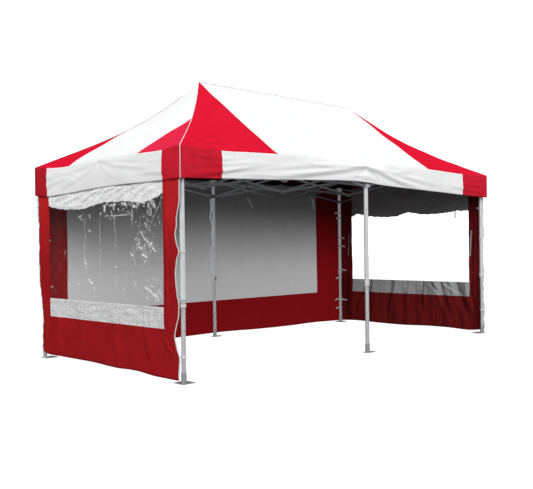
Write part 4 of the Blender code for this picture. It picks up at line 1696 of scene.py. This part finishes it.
def end_walls() -> list[EndWall]:
    """The two end walls with their measured edges, folds and creases.

    Returns:
        The left one and the right one.
    """
    left = EndWall(
        Face.LEFT, "left_wall", film_node="left_window", seed=5, step=0.018,
        patches=(
            (0.88, 1.46, 0.26, 1.0), (1.02, 1.78, 0.20, 1.0), (0.98, 0.92, 0.20, 0.9), (0.6, 1.84, 0.20, 1.0),
            (0.2, 1.86, 0.14, 0.8), (-0.9, 1.2, 0.30, 0.25), (0.5, 1.1, 0.6, 0.20), (-0.4, 1.5, 0.5, 0.16),
            (-0.3, 1.0, 0.3, 0.3)),
        hem=Outline((
            (-1.5, 0.10), (-1.44, 0.082), (-1.36, 0.072), (-0.9, 0.067), (-0.3, 0.068), (0.34, 0.054),
            (0.7, 0.060), (0.95, 0.044), (1.2, 0.039), (1.5, 0.038))),
        left_edge=Outline((
            (0.0, 0.19), (0.08, 0.12), (0.16, 0.095), (0.4, 0.115), (0.65, 0.10), (0.9, 0.05),
            (1.2, 0.03), (1.6, 0.03), (2.0, 0.02), (2.4, 0.0))),
        right_edge=Outline((
            (0.0, 0.055), (0.09, 0.06), (0.28, 0.045), (0.36, 0.085), (0.50, 0.115), (0.62, 0.08),
            (0.72, 0.05), (0.83, 0.045), (0.93, 0.075), (1.05, 0.09), (1.18, 0.09), (1.28, 0.07),
            (1.36, 0.035), (1.43, 0.065), (1.53, 0.095), (1.63, 0.07), (1.72, 0.06), (1.83, 0.03),
            (2.0, 0.015), (2.4, 0.0))),
        header=Outline((
            (-1.2, 1.925), (-0.94, 1.884), (-0.64, 1.865), (-0.36, 1.861), (-0.16, 1.892), (0.07, 1.914),
            (0.32, 1.911), (0.5, 1.913), (0.7, 1.886), (0.93, 1.893), (1.06, 1.925), (1.18, 1.965))),
        head_folds=(
            Fold(((1.10, 2.06), (0.92, 1.99), (0.80, 1.90)), 0.022, 0.010),
            Fold(((0.98, 2.09), (0.72, 2.00), (0.58, 1.91)), 0.022, 0.011),
            Fold(((0.80, 2.10), (0.50, 2.03), (0.34, 1.92)), 0.024, 0.010),
            Fold(((0.58, 2.10), (0.30, 2.04), (0.12, 1.95)), 0.024, 0.010),
            Fold(((0.36, 2.10), (0.12, 2.05), (-0.06, 1.96)), 0.020, 0.009),
            Fold(((0.10, 2.08), (-0.20, 2.03), (-0.48, 1.90)), 0.026, 0.010),
            Fold(((-0.25, 2.07), (-0.62, 1.99), (-0.95, 1.91)), 0.026, 0.009),
            Fold(((-0.60, 2.06), (-0.92, 2.02), (-1.16, 1.97)), 0.022, 0.007),
            Fold(((-1.15, 1.925), (-0.6, 1.895), (-0.1, 1.925)), 0.012, 0.006),
        ),
        folds=(
            Fold(((1.27, 2.30), (1.26, 1.50), (1.25, 0.60), (1.22, 0.20)), 0.055, 0.016),
            Fold(((1.36, 2.20), (1.35, 1.60), (1.37, 1.00), (1.34, 0.40)), 0.030, 0.008),
            Fold(((-1.40, 2.20), (-1.36, 1.30), (-1.30, 0.95)), 0.040, 0.010),
            Fold(((-1.42, 0.92), (-1.30, 0.98), (-1.22, 1.10)), 0.024, 0.010),
            Fold(((-1.36, 0.86), (-1.30, 0.60), (-1.33, 0.20)), 0.036, 0.010),
            Fold(((0.30, 0.50), (0.28, 0.30), (0.32, 0.08)), 0.050, 0.010, True),
            Fold(((-0.45, 0.50), (-0.42, 0.30), (-0.48, 0.08)), 0.060, 0.009, True),
            Fold(((0.85, 0.50), (0.92, 0.28), (1.02, 0.06)), 0.050, 0.011, True),
            Fold(((-0.95, 0.50), (-1.00, 0.28), (-0.92, 0.08)), 0.050, 0.008, True),
            Fold(((1.10, 0.50), (1.30, 0.32), (1.42, 0.26)), 0.035, 0.009),
        ),
        crumples=(Crumple(31, 0.0035, 0.30, 1.1, 1.6),),
        creases=(
            Fold(((-0.352, 1.83), (-0.350, 1.55), (-0.355, 1.17)), 0.007, 0.0030),
            Fold(((-0.345, 1.30), (-0.350, 1.22), (-0.33, 1.14)), 0.009, 0.0065),
            Fold(((-0.02, 1.86), (-0.02, 1.30), (-0.02, 0.80)), 0.006, 0.0022),
            Fold(((0.26, 1.78), (0.285, 1.60), (0.29, 1.35)), 0.007, 0.0028),
            Fold(((0.30, 1.13), (0.305, 0.93)), 0.006, 0.0026),
            Fold(((0.62, 1.88), (0.62, 1.60)), 0.007, 0.0030),
            Fold(((0.64, 1.44), (0.66, 1.15)), 0.007, 0.0030),
            Fold(((0.02, 1.765), (0.30, 1.760), (0.60, 1.765)), 0.007, 0.0032),
            Fold(((1.17, 1.93), (1.02, 1.72), (0.87, 1.53)), 0.007, 0.0024),
            Fold(((0.57, 1.35), (0.66, 1.29)), 0.010, 0.0070),
            Fold(((0.70, 1.44), (0.80, 1.38), (0.86, 1.36)), 0.010, 0.0060),
            Fold(((0.76, 1.60), (0.88, 1.46), (0.98, 1.36)), 0.008, 0.0050),
            Fold(((0.95, 1.43), (1.06, 1.34)), 0.012, 0.0070),
            Fold(((0.84, 1.50), (0.93, 1.44)), 0.009, 0.0065),
            Fold(((0.90, 1.41), (0.99, 1.46)), 0.008, 0.0060),
            Fold(((0.78, 1.33), (0.90, 1.29)), 0.009, 0.0055),
            Fold(((0.82, 0.98), (0.92, 0.95), (1.05, 0.86)), 0.010, 0.0070),
            Fold(((1.00, 0.92), (1.10, 0.83)), 0.012, 0.0065),
            Fold(((-0.30, 1.04), (-0.19, 0.97)), 0.010, 0.0062),
            Fold(((0.08, 1.90), (0.07, 1.80)), 0.012, 0.0070),
            Fold(((0.28, 1.91), (0.25, 1.82)), 0.013, 0.0070),
            Fold(((0.58, 1.93), (0.66, 1.84), (0.78, 1.88)), 0.014, 0.0080),
            Fold(((0.86, 1.95), (0.98, 1.90), (1.06, 1.80)), 0.015, 0.0085),
            Fold(((0.70, 1.91), (0.88, 1.87)), 0.012, 0.0070),
            Fold(((0.40, 1.90), (0.55, 1.86)), 0.012, 0.0060),
            Fold(((-0.50, 1.76), (-0.36, 1.80)), 0.010, 0.0040),
        ))
    right = EndWall(
        Face.RIGHT, "right_wall", film_node="right_window", seed=9, step=0.020, gathers=14, gather_slant=0.5,
        loose_creases=3, head_crinkle=0.0,
        finishes=("white_wall", "red_wall", "shaded_inside", "red_shaded"),
        hem=Outline((
            (-1.5, 0.045), (-1.14, 0.022), (-0.79, 0.036), (-0.43, 0.036), (0.08, 0.020), (0.62, 0.022),
            (1.05, 0.035), (1.5, 0.018))),
        left_edge=Outline((
            (0.0, 0.085), (0.28, 0.085), (0.36, 0.08), (0.62, 0.11), (0.90, 0.085), (1.2, 0.11),
            (1.465, 0.08), (1.8, 0.09), (2.1, 0.06), (2.4, 0.0))),
        right_edge=Outline(((0.0, 0.02), (0.5, 0.03), (1.2, 0.02), (2.0, 0.0), (2.4, 0.0))),
        header=Outline((
            (-1.2, 1.903), (-0.94, 1.904), (-0.7, 1.878), (-0.43, 1.872), (-0.2, 1.890), (-0.05, 1.915),
            (0.21, 1.861), (0.37, 1.851), (0.59, 1.863), (0.9, 1.896), (1.02, 1.932), (1.18, 1.884))),
        head_folds=(
            Fold(((-1.10, 2.06), (-0.95, 1.97), (-0.82, 1.90)), 0.026, 0.009),
            Fold(((-0.75, 2.08), (-0.45, 1.98), (-0.20, 1.92)), 0.028, 0.010),
            Fold(((0.30, 2.08), (0.12, 1.99), (0.00, 1.93)), 0.026, 0.009),
            Fold(((0.80, 2.08), (0.92, 2.00), (1.00, 1.95)), 0.026, 0.009),
        ),
        folds=(
            Fold(((-0.90, 0.77), (-1.00, 0.55), (-1.22, 0.05)), 0.050, 0.032, True),
            Fold(((-0.62, 0.76), (-0.72, 0.45), (-0.90, 0.05)), 0.044, 0.030, True),
            Fold(((-0.30, 0.76), (-0.26, 0.40), (-0.34, 0.05)), 0.045, 0.025, True),
            Fold(((0.00, 0.76), (0.08, 0.40), (0.04, 0.05)), 0.030, 0.011, True),
            Fold(((0.31, 0.76), (0.42, 0.40), (0.46, 0.05)), 0.055, 0.026, True),
            Fold(((0.66, 0.74), (0.74, 0.40), (0.88, 0.05)), 0.040, 0.010, True),
            Fold(((0.90, 0.74), (1.06, 0.40), (1.24, 0.08)), 0.050, 0.017, True),
            Fold(((-0.46, 0.72), (-0.62, 0.58), (-0.74, 0.30)), 0.024, 0.022, True),
            Fold(((-0.74, 0.74), (-0.96, 0.62), (-1.16, 0.52)), 0.022, 0.022, True),
            Fold(((-1.12, 0.90), (-1.24, 0.50), (-1.40, 0.10)), 0.036, 0.022),
            Fold(((-1.28, 2.20), (-1.26, 1.20), (-1.24, 0.30)), 0.050, 0.014),
            Fold(((1.28, 2.20), (1.30, 1.20), (1.27, 0.30)), 0.050, 0.010),
        ),
        crumples=(Crumple(47, 0.0040, 0.30, 1.1, 1.6), Crumple(48, 0.0026, 0.10, 0.30, 2.4)),
        creases=(
            Fold(((-0.62, 1.86), (-0.62, 1.20)), 0.008, 0.0016),
            Fold(((0.40, 1.84), (0.41, 1.10)), 0.008, 0.0016),
        ))
    return [left, right]


def back_wall() -> BackWall:
    """The back wall with its measured hem and folds.

    Returns:
        The wall.
    """
    return BackWall(
        Face.BACK, "back_wall", step=0.026,
        right_edge=Outline((
            (0.0, 0.17), (0.16, 0.13), (0.5, 0.13), (0.9, 0.08), (1.5, 0.05), (2.0, 0.03), (2.4, 0.0))),
        hem=Outline((
            (-3.0, 0.012), (-2.2, 0.030), (-1.7, 0.024), (-0.9, 0.032), (-0.1, 0.052), (0.62, 0.046),
            (1.6, 0.030), (3.0, 0.036))),
        folds=(
            Fold(((-2.70, 2.20), (-2.72, 1.20), (-2.66, 0.40)), 0.060, 0.012),
            Fold(((-2.55, 2.10), (-2.52, 1.30)), 0.040, 0.008),
            Fold(((2.70, 2.20), (2.72, 1.20), (2.66, 0.40)), 0.060, 0.012),
            Fold(((-1.90, 0.52), (-1.80, 0.25), (-1.95, 0.05)), 0.060, 0.010, True),
            Fold(((-0.95, 0.52), (-1.05, 0.28), (-0.98, 0.05)), 0.060, 0.010, True),
            Fold(((0.10, 0.52), (0.02, 0.28), (0.12, 0.06)), 0.060, 0.009, True),
            Fold(((1.20, 0.52), (1.12, 0.28), (1.25, 0.05)), 0.060, 0.010, True),
            Fold(((-2.2, 2.15), (-1.2, 1.98), (-0.2, 2.12)), 0.070, 0.006),
            Fold(((0.2, 2.12), (1.2, 1.98), (2.2, 2.15)), 0.070, 0.006),
        ),
        crumples=(Crumple(61, 0.0040, 0.45, 1.7, 1.5), Crumple(62, 0.0015, 0.2, 0.5, 1.2)))


@dataclass
class Legs:
    """The six telescopic legs: finish of the tubes, pin holes, and the straps of the walls."""

    strap_high: float = 0.030
    strap_radii: Triple = (0.0365, 0.0312, 0.0275)
    strap_thick: float = 0.0022
    strap_steps: int = 34
    strap_turns: float = 1.06
    strap_spiral: float = 0.0018
    strap_ripple: float = 0.0010
    strap_tilt: float = 0.10
    collar: Point = (0.84, 0.95)
    tab_start: float = 0.027
    tab_droop: float = 0.014
    tab_narrowing: float = 0.2
    hole_radius: float = 0.0042
    hole_count: int = 6
    lowest_hole: float = 0.27
    hole_pitch: float = 0.09
    tube_flat: float = 0.022
    peg_radius: float = 0.007
    peg_level: float = 0.0083
    peg_spots: tuple[Point, ...] = ((0.72, 0.28), (0.28, 0.72))
    mark_thick: float = 0.0006
    straps: Mapping[str, tuple[float, ...]] = field(default_factory=lambda: {
        "front_left": (1.36, 0.80, 0.28),
        "front_right": (1.465, 0.90, 0.36),
        "back_middle": (0.37, 0.23),
        "back_right": (1.965, 1.874, 1.51, 1.364, 0.936, 0.791, 0.408, 0.254),
        "back_left": (1.965, 1.51, 0.936, 0.408),
    })
    tabs: Mapping[str, tuple[tuple[float, float, float, float], ...]] = field(default_factory=lambda: {
        "back_right": ((1.965, -1, 0.15, 0.085), (1.874, -1, 0.1, 0.05), (1.51, 0.2, -1, 0.075),
                       (1.364, 0.2, -1, 0.085), (0.936, 0.2, -1, 0.10), (0.791, -1, 0.1, 0.075),
                       (0.408, -1, 0.1, 0.10), (0.400, 0.2, -1, 0.11), (0.254, -1, 0.1, 0.08)),
        "front_right": ((1.94, 0.2, 1, 0.05), (0.90, 0.6, 0.8, 0.045)),
        "back_left": ((1.51, 0.9, -0.3, 0.06), (0.408, 0.9, -0.3, 0.06)),
    })
    inner_below: float = 0.42

    def spots(self) -> Iterable[tuple[str, Vector]]:
        """Goes through the legs.

        Yields:
            Each leg's name and the place of its axis on the ground.
        """
        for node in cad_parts:
            if node.startswith("slider_"):
                yield node[len("slider_"):], plan(node)

    def dress_nodes(self) -> None:
        """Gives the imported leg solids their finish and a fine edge."""
        for name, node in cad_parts.items():
            for start, finish, edge in (("outer_leg", "leg", 0.0012), ("inner_leg", "foot", 0.0010),
                                        ("slider", "block", 0.0025)):
                if name.startswith(start):
                    # Legs at the back take the copies with painted daylight.
                    at_back = "_back_" in name and finish != "block"
                    dress_node(node, "back_" + finish if at_back else finish, edge)

    def ring(self, bm: bmesh.types.BMesh, centre: Vector, level: float, toward: Vector, seed: int) -> None:
        """Adds one strap, a band a little over once round the tube.

        Args:
            bm: Where it goes.
            centre: The tube's axis on the ground.
            level: The strap's height.
            toward: The way to where it begins.
            seed: Its own seed, for its tilt.
        """
        rng = np.random.default_rng(seed)
        tilt = rng.uniform(-self.strap_tilt, self.strap_tilt)
        over_collar, round_outer, round_inner = self.strap_radii
        base = round_inner if level < self.inner_below else round_outer
        if self.collar[0] < level < self.collar[1]:
            base = over_collar
        path = []
        steps = self.strap_steps
        begin = math.atan2(toward.y, toward.x)
        for k in range(steps + 1):
            turn = begin + 2 * math.pi * k / steps * self.strap_turns
            radius = base + self.strap_spiral * k / steps + self.strap_ripple * math.cos(6 * turn)
            way = Vector((math.cos(turn), math.sin(turn), 0))
            path.append(centre + way * radius + Vector((0, 0, level + tilt * radius * math.sin(turn))))
        ribbon(bm, path, [Vector((0, 0, self.strap_high / 2))] * len(path), self.strap_thick)

    def tab(self, bm: bmesh.types.BMesh, centre: Vector, level: float, way: Vector, length: float) -> None:
        """Adds the loose end of a strap, which stands off the tube and droops.

        Args:
            bm: Where it goes.
            centre: The tube's axis on the ground.
            level: Its height.
            way: The way out.
            length: Its length.
        """
        path, across = [], []
        for t in np.linspace(0, 1, 8):
            drop = Vector((0, 0, level - self.tab_droop * t * t))
            path.append(centre + way * (self.tab_start + length * t) + drop)
            across.append(Vector((0, 0, self.strap_high / 2 * (1 - self.tab_narrowing * t))))
        ribbon(bm, path, across, self.strap_thick)

    def build_straps(self) -> list[bpy.types.Object]:
        """Makes the straps, apart for the tube of the leg that they hold.

        Returns:
            The pieces.
        """
        made = []
        for number, (spot, centre) in enumerate(self.spots()):
            for low_part in (False, True):
                levels = [z for z in self.straps.get(spot, ()) if (z < self.inner_below) == low_part]
                if not levels:
                    continue
                bm = bmesh.new()
                for k, level in enumerate(levels):
                    toward = Vector((centre.x, centre.y * 0.2, 0)).normalized()
                    self.ring(bm, centre, level, toward, 100 * number + k)
                for level, way_x, way_y, length in self.tabs.get(spot, ()):
                    if (level < self.inner_below) == low_part:
                        self.tab(bm, centre, level, Vector((way_x, way_y, 0)).normalized(), length)
                part, body = ("low", f"inner_leg_{spot}") if low_part else ("high", BODY)
                finish = "dim_tape" if "back" in spot else "tape"
                straps = object_of(f"leg_straps_{spot}_{part}", bm, (finish,))
                made.append(settle(straps, body))
        return made

    def build_holes(self) -> list[bpy.types.Object]:
        """Makes the pin holes up each lower tube and the peg holes of its foot, as dark discs of painted
        shade.

        Returns:
            The pieces.
        """
        made = []
        turn = Matrix.Rotation(math.pi / 2, 4, "X")
        for spot, centre in self.spots():
            bm = bmesh.new()
            for k in range(self.hole_count):
                for way in (-1, 1):
                    place = centre + Vector((0, way * self.tube_flat, self.lowest_hole + self.hole_pitch * k))
                    stud(bm, Matrix.Translation(place) @ turn, 16, self.mark_thick, self.hole_radius)
            low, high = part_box(f"inner_leg_{spot}")
            reach_x = (high if centre.x <= 0 else low)[0] - centre.x
            reach_y = (high if centre.y < 0 else low)[1] - centre.y
            for fx, fy in self.peg_spots:
                place = centre + Vector((reach_x * fx, reach_y * fy, self.peg_level))
                stud(bm, Matrix.Translation(place), 20, self.mark_thick, self.peg_radius)
            holes = object_of(f"pin_holes_{spot}", bm, ("dark",))
            made.append(settle(holes, f"inner_leg_{spot}"))
        return made


def stud(bm: bmesh.types.BMesh, place: Matrix, sides: int, high: float, radius: float, top: float = 1.0
         ) -> None:
    """Adds a small round disc or cone.

    Args:
        bm: Where it goes.
        place: Its middle, with its axis along Z.
        sides: Its number of sides.
        high: Its height.
        radius: Its radius.
        top: How much of the radius is left at its top.
    """
    bmesh.ops.create_cone(bm, cap_ends=True, segments=sides, radius1=radius, radius2=radius * top, depth=high,
                          matrix=place)


def dress_node(node: bpy.types.Object, finish: str, edge: float) -> None:
    """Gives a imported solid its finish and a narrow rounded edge.

    Args:
        node: The solid.
        finish: The finish's name.
        edge: The edge's width.
    """
    material = PALETTE.get(finish)
    if not node.material_slots:
        node.data.materials.append(material)
    for slot in node.material_slots:
        slot.material = material
    bevel = node.modifiers.new("edge", "BEVEL")
    bevel.width = edge
    bevel.segments = 2
    bevel.limit_method = "ANGLE"
    bevel.angle_limit = math.radians(35)
    bevel.harden_normals = False


def plan(node: str) -> Vector:
    """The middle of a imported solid's box, on the ground."""
    low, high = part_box(node)
    return Vector(((low[0] + high[0]) / 2, (low[1] + high[1]) / 2, 0))


@dataclass
class ScissorFrame:
    """The scissor trusses and the two masts, with a rivet at every pivot."""

    rivet_radius: float = 0.0085
    rivet_dome: float = 0.0045
    dome_top: float = 0.55
    flange_wider: float = 1.25
    flange_high: float = 0.0012
    pivot_inset: float = 0.014
    bar_side: float = 0.0092
    level_high: float = 2.385
    level_low: float = 2.160
    hub_side: float = 0.025
    hub_reach: float = 0.029
    block_reach: float = 0.043

    def dress_nodes(self) -> None:
        """Gives bars, hubs and masts their finish."""
        for name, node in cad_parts.items():
            if name.startswith("truss_"):
                dress_node(node, "bar", 0.0016)
            if name.startswith("mast_"):
                dress_node(node, "mast", 0.001)

    def ends(self, name: str) -> tuple[Vector, Vector, float, float]:
        """Where a truss begins and ends.

        Args:
            name: The truss.

        Returns:
            Its two plan points, and how far from them its end pivots are.
        """
        words = name.split("_")[1:]
        if words[-1] == "link":
            side, row = words[:2]
            return plan(f"mast_{side}"), plan(f"truss_{row}_{side}"), self.hub_reach, self.hub_reach
        if words[0] == "centre":
            return plan(f"truss_{words[1]}_end"), plan("truss_middle"), self.hub_reach, self.hub_reach
        if words[0] in ("front", "back"):
            spots = (f"{words[0]}_{words[1]}", f"{words[0]}_middle")
        else:
            spots = (f"front_{words[0]}", f"back_{words[0]}")
        return plan("slider_" + spots[0]), plan("slider_" + spots[1]), self.block_reach, self.block_reach

    def pivots(self, name: str) -> list[tuple[Vector, Vector]]:
        """The seats of a truss's rivets, on both sides of it.

        Args:
            name: The truss.

        Returns:
            Each seat with its way out.
        """
        start, end, first, last = self.ends(name)
        way = (end - start).normalized()
        across = Vector((-way.y, way.x, 0))
        length = (end - start).length
        seats = []
        middle = (self.level_high + self.level_low) / 2
        single = name.endswith("link")
        cuts = (first, length - last) if single else (first, length / 2, length - last)
        for one, two in zip(cuts, cuts[1:]):
            seats.append((start + way * (one + two) / 2 + Vector((0, 0, middle)), self.bar_side))
        for level in (self.level_high, self.level_low):
            if not single:
                seats.append((start + way * length / 2 + Vector((0, 0, level)), self.hub_side))
            for place in (first + self.pivot_inset, length - last - self.pivot_inset):
                seats.append((start + way * place + Vector((0, 0, level)), self.bar_side))
        return [(place + across * side * away, across * side) for place, away in seats for side in (-1, 1)]

    def build_rivets(self) -> bpy.types.Object:
        """Makes all rivets as one joined mesh.

        Returns:
            The piece.
        """
        bm = bmesh.new()
        flange = (self.flange_high, self.rivet_radius * self.flange_wider, 1.0)
        dome = (self.rivet_dome, self.rivet_radius, self.dome_top)
        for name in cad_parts:
            if not name.startswith("truss_"):
                continue
            for place, out in self.pivots(name):
                turn = out.to_track_quat("Z", "Y").to_matrix().to_4x4()
                for foot, (high, radius, top) in ((0.0, flange), (self.flange_high, dome)):
                    shift = Matrix.Translation((0, 0, foot + high / 2))
                    stud(bm, Matrix.Translation(place) @ turn @ shift, 14, high, radius, top)
        return settle(object_of("truss_rivets", bm, ("rivet",)))


@dataclass
class Tapes:
    """Loose tapes: touch tape down the walls' edges, tie straps, strips beside the far window."""

    tape_wide: float = 0.016
    tape_thick: float = 0.0014
    corner: float = 1.479
    lift: float = 0.008
    # For each piece its straps, each by its two ends, its width and its bow.
    straps: Mapping[str, tuple[tuple[Triple, Triple, Triple, Triple], ...]] = field(default_factory=lambda: {
        "left_wall_tapes": (
            ((-2.989, 1.475, 2.06), (-2.993, 1.455, 1.72), (0, 0.026, 0), (-0.006, -0.012, 0)),),
        "right_wall_tapes": (
            ((2.974, -0.95, 1.915), (2.968, -0.955, 1.80), (0, 0.022, 0), (-0.01, 0, 0)),),
        "right_window_strips": tuple(
            ((2.976, y, 1.59), (2.976, y + 0.03, 1.185), (0, 0.028, 0), (-0.003, 0, 0))
            for y in (-1.236, 1.236)),
        "back_wall_ties": (
            ((0.70, 1.474, 2.17), (0.79, 1.462, 2.0), (0.026, 0, 0), (0, -0.012, 0)),
            ((2.24, 1.474, 2.21), (2.28, 1.462, 2.01), (0.034, 0, 0), (0, -0.012, 0)),
            ((-1.60, 1.474, 2.28), (-1.66, 1.462, 2.06), (0.022, 0, 0), (0, -0.012, 0))),
    })

    def wavy(self, bm: bmesh.types.BMesh, side_x: int, side_y: int, inset: Callable[[Array], Array],
             plane: float, top: float, bottom: float, wide: float) -> None:
        """Adds a tape that runs down beside a corner leg.

        Args:
            bm: Where it goes.
            side_x: The end of the tent.
            side_y: The front or the back of it.
            inset: How far inside the wall's corner the tape is at a height.
            plane: Its distance out along X.
            top: Its upper end.
            bottom: Its lower end.
            wide: Its width.
        """
        path = []
        for level in np.linspace(top, bottom, 90):
            y = side_y * (self.corner - float(inset(level)))
            ripple = 0.005 * math.sin(level * 21.0) + 0.004 * math.sin(level * 47.0 + 1.0)
            out = side_x * (plane + self.lift + ripple * 0.4)
            path.append(Vector((out, y + side_y * ripple, float(level))))
        ribbon(bm, path, [Vector((0, side_y * wide / 2, 0))] * len(path), self.tape_thick)

    def finished(self, name: str, bm: bmesh.types.BMesh, finish: str = "tape") -> bpy.types.Object:
        """Adds a piece's straps, each bowed between its ends, and makes the piece.

        Args:
            name: The piece.
            bm: What it has besides.
            finish: The name of its finish.

        Returns:
            The piece.
        """
        for strap in self.straps.get(name, ()):
            top, bottom, wide, bow = map(Vector, strap)
            path = [top.lerp(bottom, t) + bow * math.sin(math.pi * t) for t in np.linspace(0, 1, 12)]
            ribbon(bm, path, [wide / 2] * len(path), self.tape_thick)
        return settle(object_of(name, bm, (finish,)))

    def build(self, walls: Sequence[EndWall]) -> list[bpy.types.Object]:
        """Makes the tapes of all walls.

        Args:
            walls: The left end wall and the right one.

        Returns:
            The pieces.
        """
        left, right = walls
        near = bmesh.new()
        wide = self.tape_wide
        self.wavy(near, -1, -1, lambda z: left.right_edge.at(z) - 0.008, left.plane, 2.09, 0.06, wide)
        self.wavy(near, -1, 1, lambda z: left.left_edge.at(z) + 0.012, left.plane, 2.05, 0.12, 0.012)
        far = bmesh.new()
        self.wavy(far, 1, -1, lambda z: right.left_edge.at(z) * 0.6, right.plane, 2.09, 0.06, wide)
        leg = bmesh.new()
        path = [Vector((-0.132 + 0.014 * math.sin(9 * z) + 0.012 * math.sin(23 * z), 1.40, z))
                for z in np.linspace(2.12, 0.98, 60)]
        ribbon(leg, path, [Vector((0.011, 0, 0))] * len(path), self.tape_thick)
        return [self.finished("left_wall_tapes", near), self.finished("right_wall_tapes", far),
                self.finished("right_window_strips", bmesh.new(), "grey_tape"),
                self.finished("back_wall_ties", bmesh.new(), "dim_tape"),
                self.finished("back_leg_tape", leg, "lit_tape")]


@dataclass
class Studio:
    """A pale floor, soft light and the camera."""

    stand: Triple = (-7.859, -7.695, 1.426)
    heading: float = 44.392
    tilt: float = -0.074
    roll: float = -0.726
    lens: float = 52.40
    floor_radius: float = 70.0
    sky: float = 0.85
    backdrop: float = 1.5

    def build_floor(self) -> None:
        """Makes the floor, which is near white with only a faint shadow."""
        bm = bmesh.new()
        bmesh.ops.create_circle(bm, cap_ends=True, segments=96, radius=self.floor_radius,
                                matrix=Matrix.Translation((0, 0, -0.001)))
        mesh = bpy.data.meshes.new("floor")
        bm.to_mesh(mesh)
        bm.free()
        recipe = Recipe("pale_floor")
        seen = recipe.node("LightPath", {}, {}, "Is Camera Ray")
        speck = recipe.noise(3.0)
        tint = recipe.blend(seen, grey(0.13), grey(0.16))
        recipe.glow(seen, grey(0.97))
        recipe.dress({"Base Color": tint, "Roughness": speck * 0.1 + 0.85, "Specular IOR Level": 0.0})
        mesh.materials.append(recipe.material)
        floor = bpy.data.objects.new("floor", mesh)
        bpy.context.scene.collection.objects.link(floor)

    def build_light(self) -> None:
        """Makes a white surround and a high soft key light from the front left."""
        world = bpy.data.worlds.new("white_surround")
        bpy.context.scene.world = world
        world.use_nodes = True
        tree = world.node_tree
        path = tree.nodes.new("ShaderNodeLightPath")
        strength = tree.nodes.new("ShaderNodeMix")
        tree.links.new(path.outputs["Is Camera Ray"], strength.inputs[0])
        strength.inputs[2].default_value = self.sky
        strength.inputs[3].default_value = self.backdrop
        background = tree.nodes["Background"]
        background.inputs["Color"].default_value = (1, 1, 1, 1)
        tree.links.new(strength.outputs[0], background.inputs["Strength"])
        self.sun("key", (-0.60, -0.70, 0.52), 1.62, 36.0)

    def sun(self, name: str, toward: Triple, energy: float, spread: float) -> None:
        """Adds a far soft light.

        Args:
            name: Its name.
            toward: The way to it.
            energy: Its strength.
            spread: How wide it is, in degrees.
        """
        light = bpy.data.lights.new(name, "SUN")
        light.energy = energy
        light.angle = math.radians(spread)
        lamp = bpy.data.objects.new(name, light)
        lamp.rotation_euler = Vector(toward).to_track_quat("Z", "Y").to_euler()
        bpy.context.scene.collection.objects.link(lamp)

    def build_camera(self) -> None:
        """Stands the camera where the photograph was taken from."""
        yaw, pitch, roll = (math.radians(v) for v in (self.heading, self.tilt, self.roll))
        ahead = Vector((math.sin(yaw) * math.cos(pitch), math.cos(yaw) * math.cos(pitch), math.sin(pitch)))
        right = ahead.cross(Vector((0, 0, 1))).normalized()
        up = right.cross(ahead)
        level_right = math.cos(roll) * right + math.sin(roll) * up
        level_up = -math.sin(roll) * right + math.cos(roll) * up
        data = bpy.data.cameras.new("camera")
        data.lens = self.lens
        data.sensor_width = 36.0
        data.clip_end = 300.0
        camera = bpy.data.objects.new("camera", data)
        turn = Matrix((level_right, level_up, -ahead)).transposed().to_4x4()
        camera.matrix_world = Matrix.Translation(self.stand) @ turn
        bpy.context.scene.collection.objects.link(camera)
        bpy.context.scene.camera = camera

    def build(self) -> None:
        """Makes the whole studio."""
        self.build_camera()
        self.build_floor()
        self.build_light()
        bpy.context.scene.view_settings.view_transform = "Standard"
        bpy.context.scene.view_settings.look = "None"


def main() -> None:
    """Builds the studio, the cloth, the metal and the small parts in that order, and reports each piece."""
    logging.basicConfig(level=logging.INFO, format="%(name)s: %(message)s")
    Studio().build()
    made = RoofCover().build()
    walls = end_walls()
    for wall in walls:
        made += wall.build()
    made += back_wall().build()
    legs = Legs()
    legs.dress_nodes()
    made += legs.build_straps() + legs.build_holes()
    scissors = ScissorFrame()
    scissors.dress_nodes()
    made += [scissors.build_rivets(), *Tapes().build(walls)]
    for piece in made:
        log.info("%s: %s", piece.name, ", ".join(material.name for material in piece.data.materials))


if __name__ == "__main__":
    main()
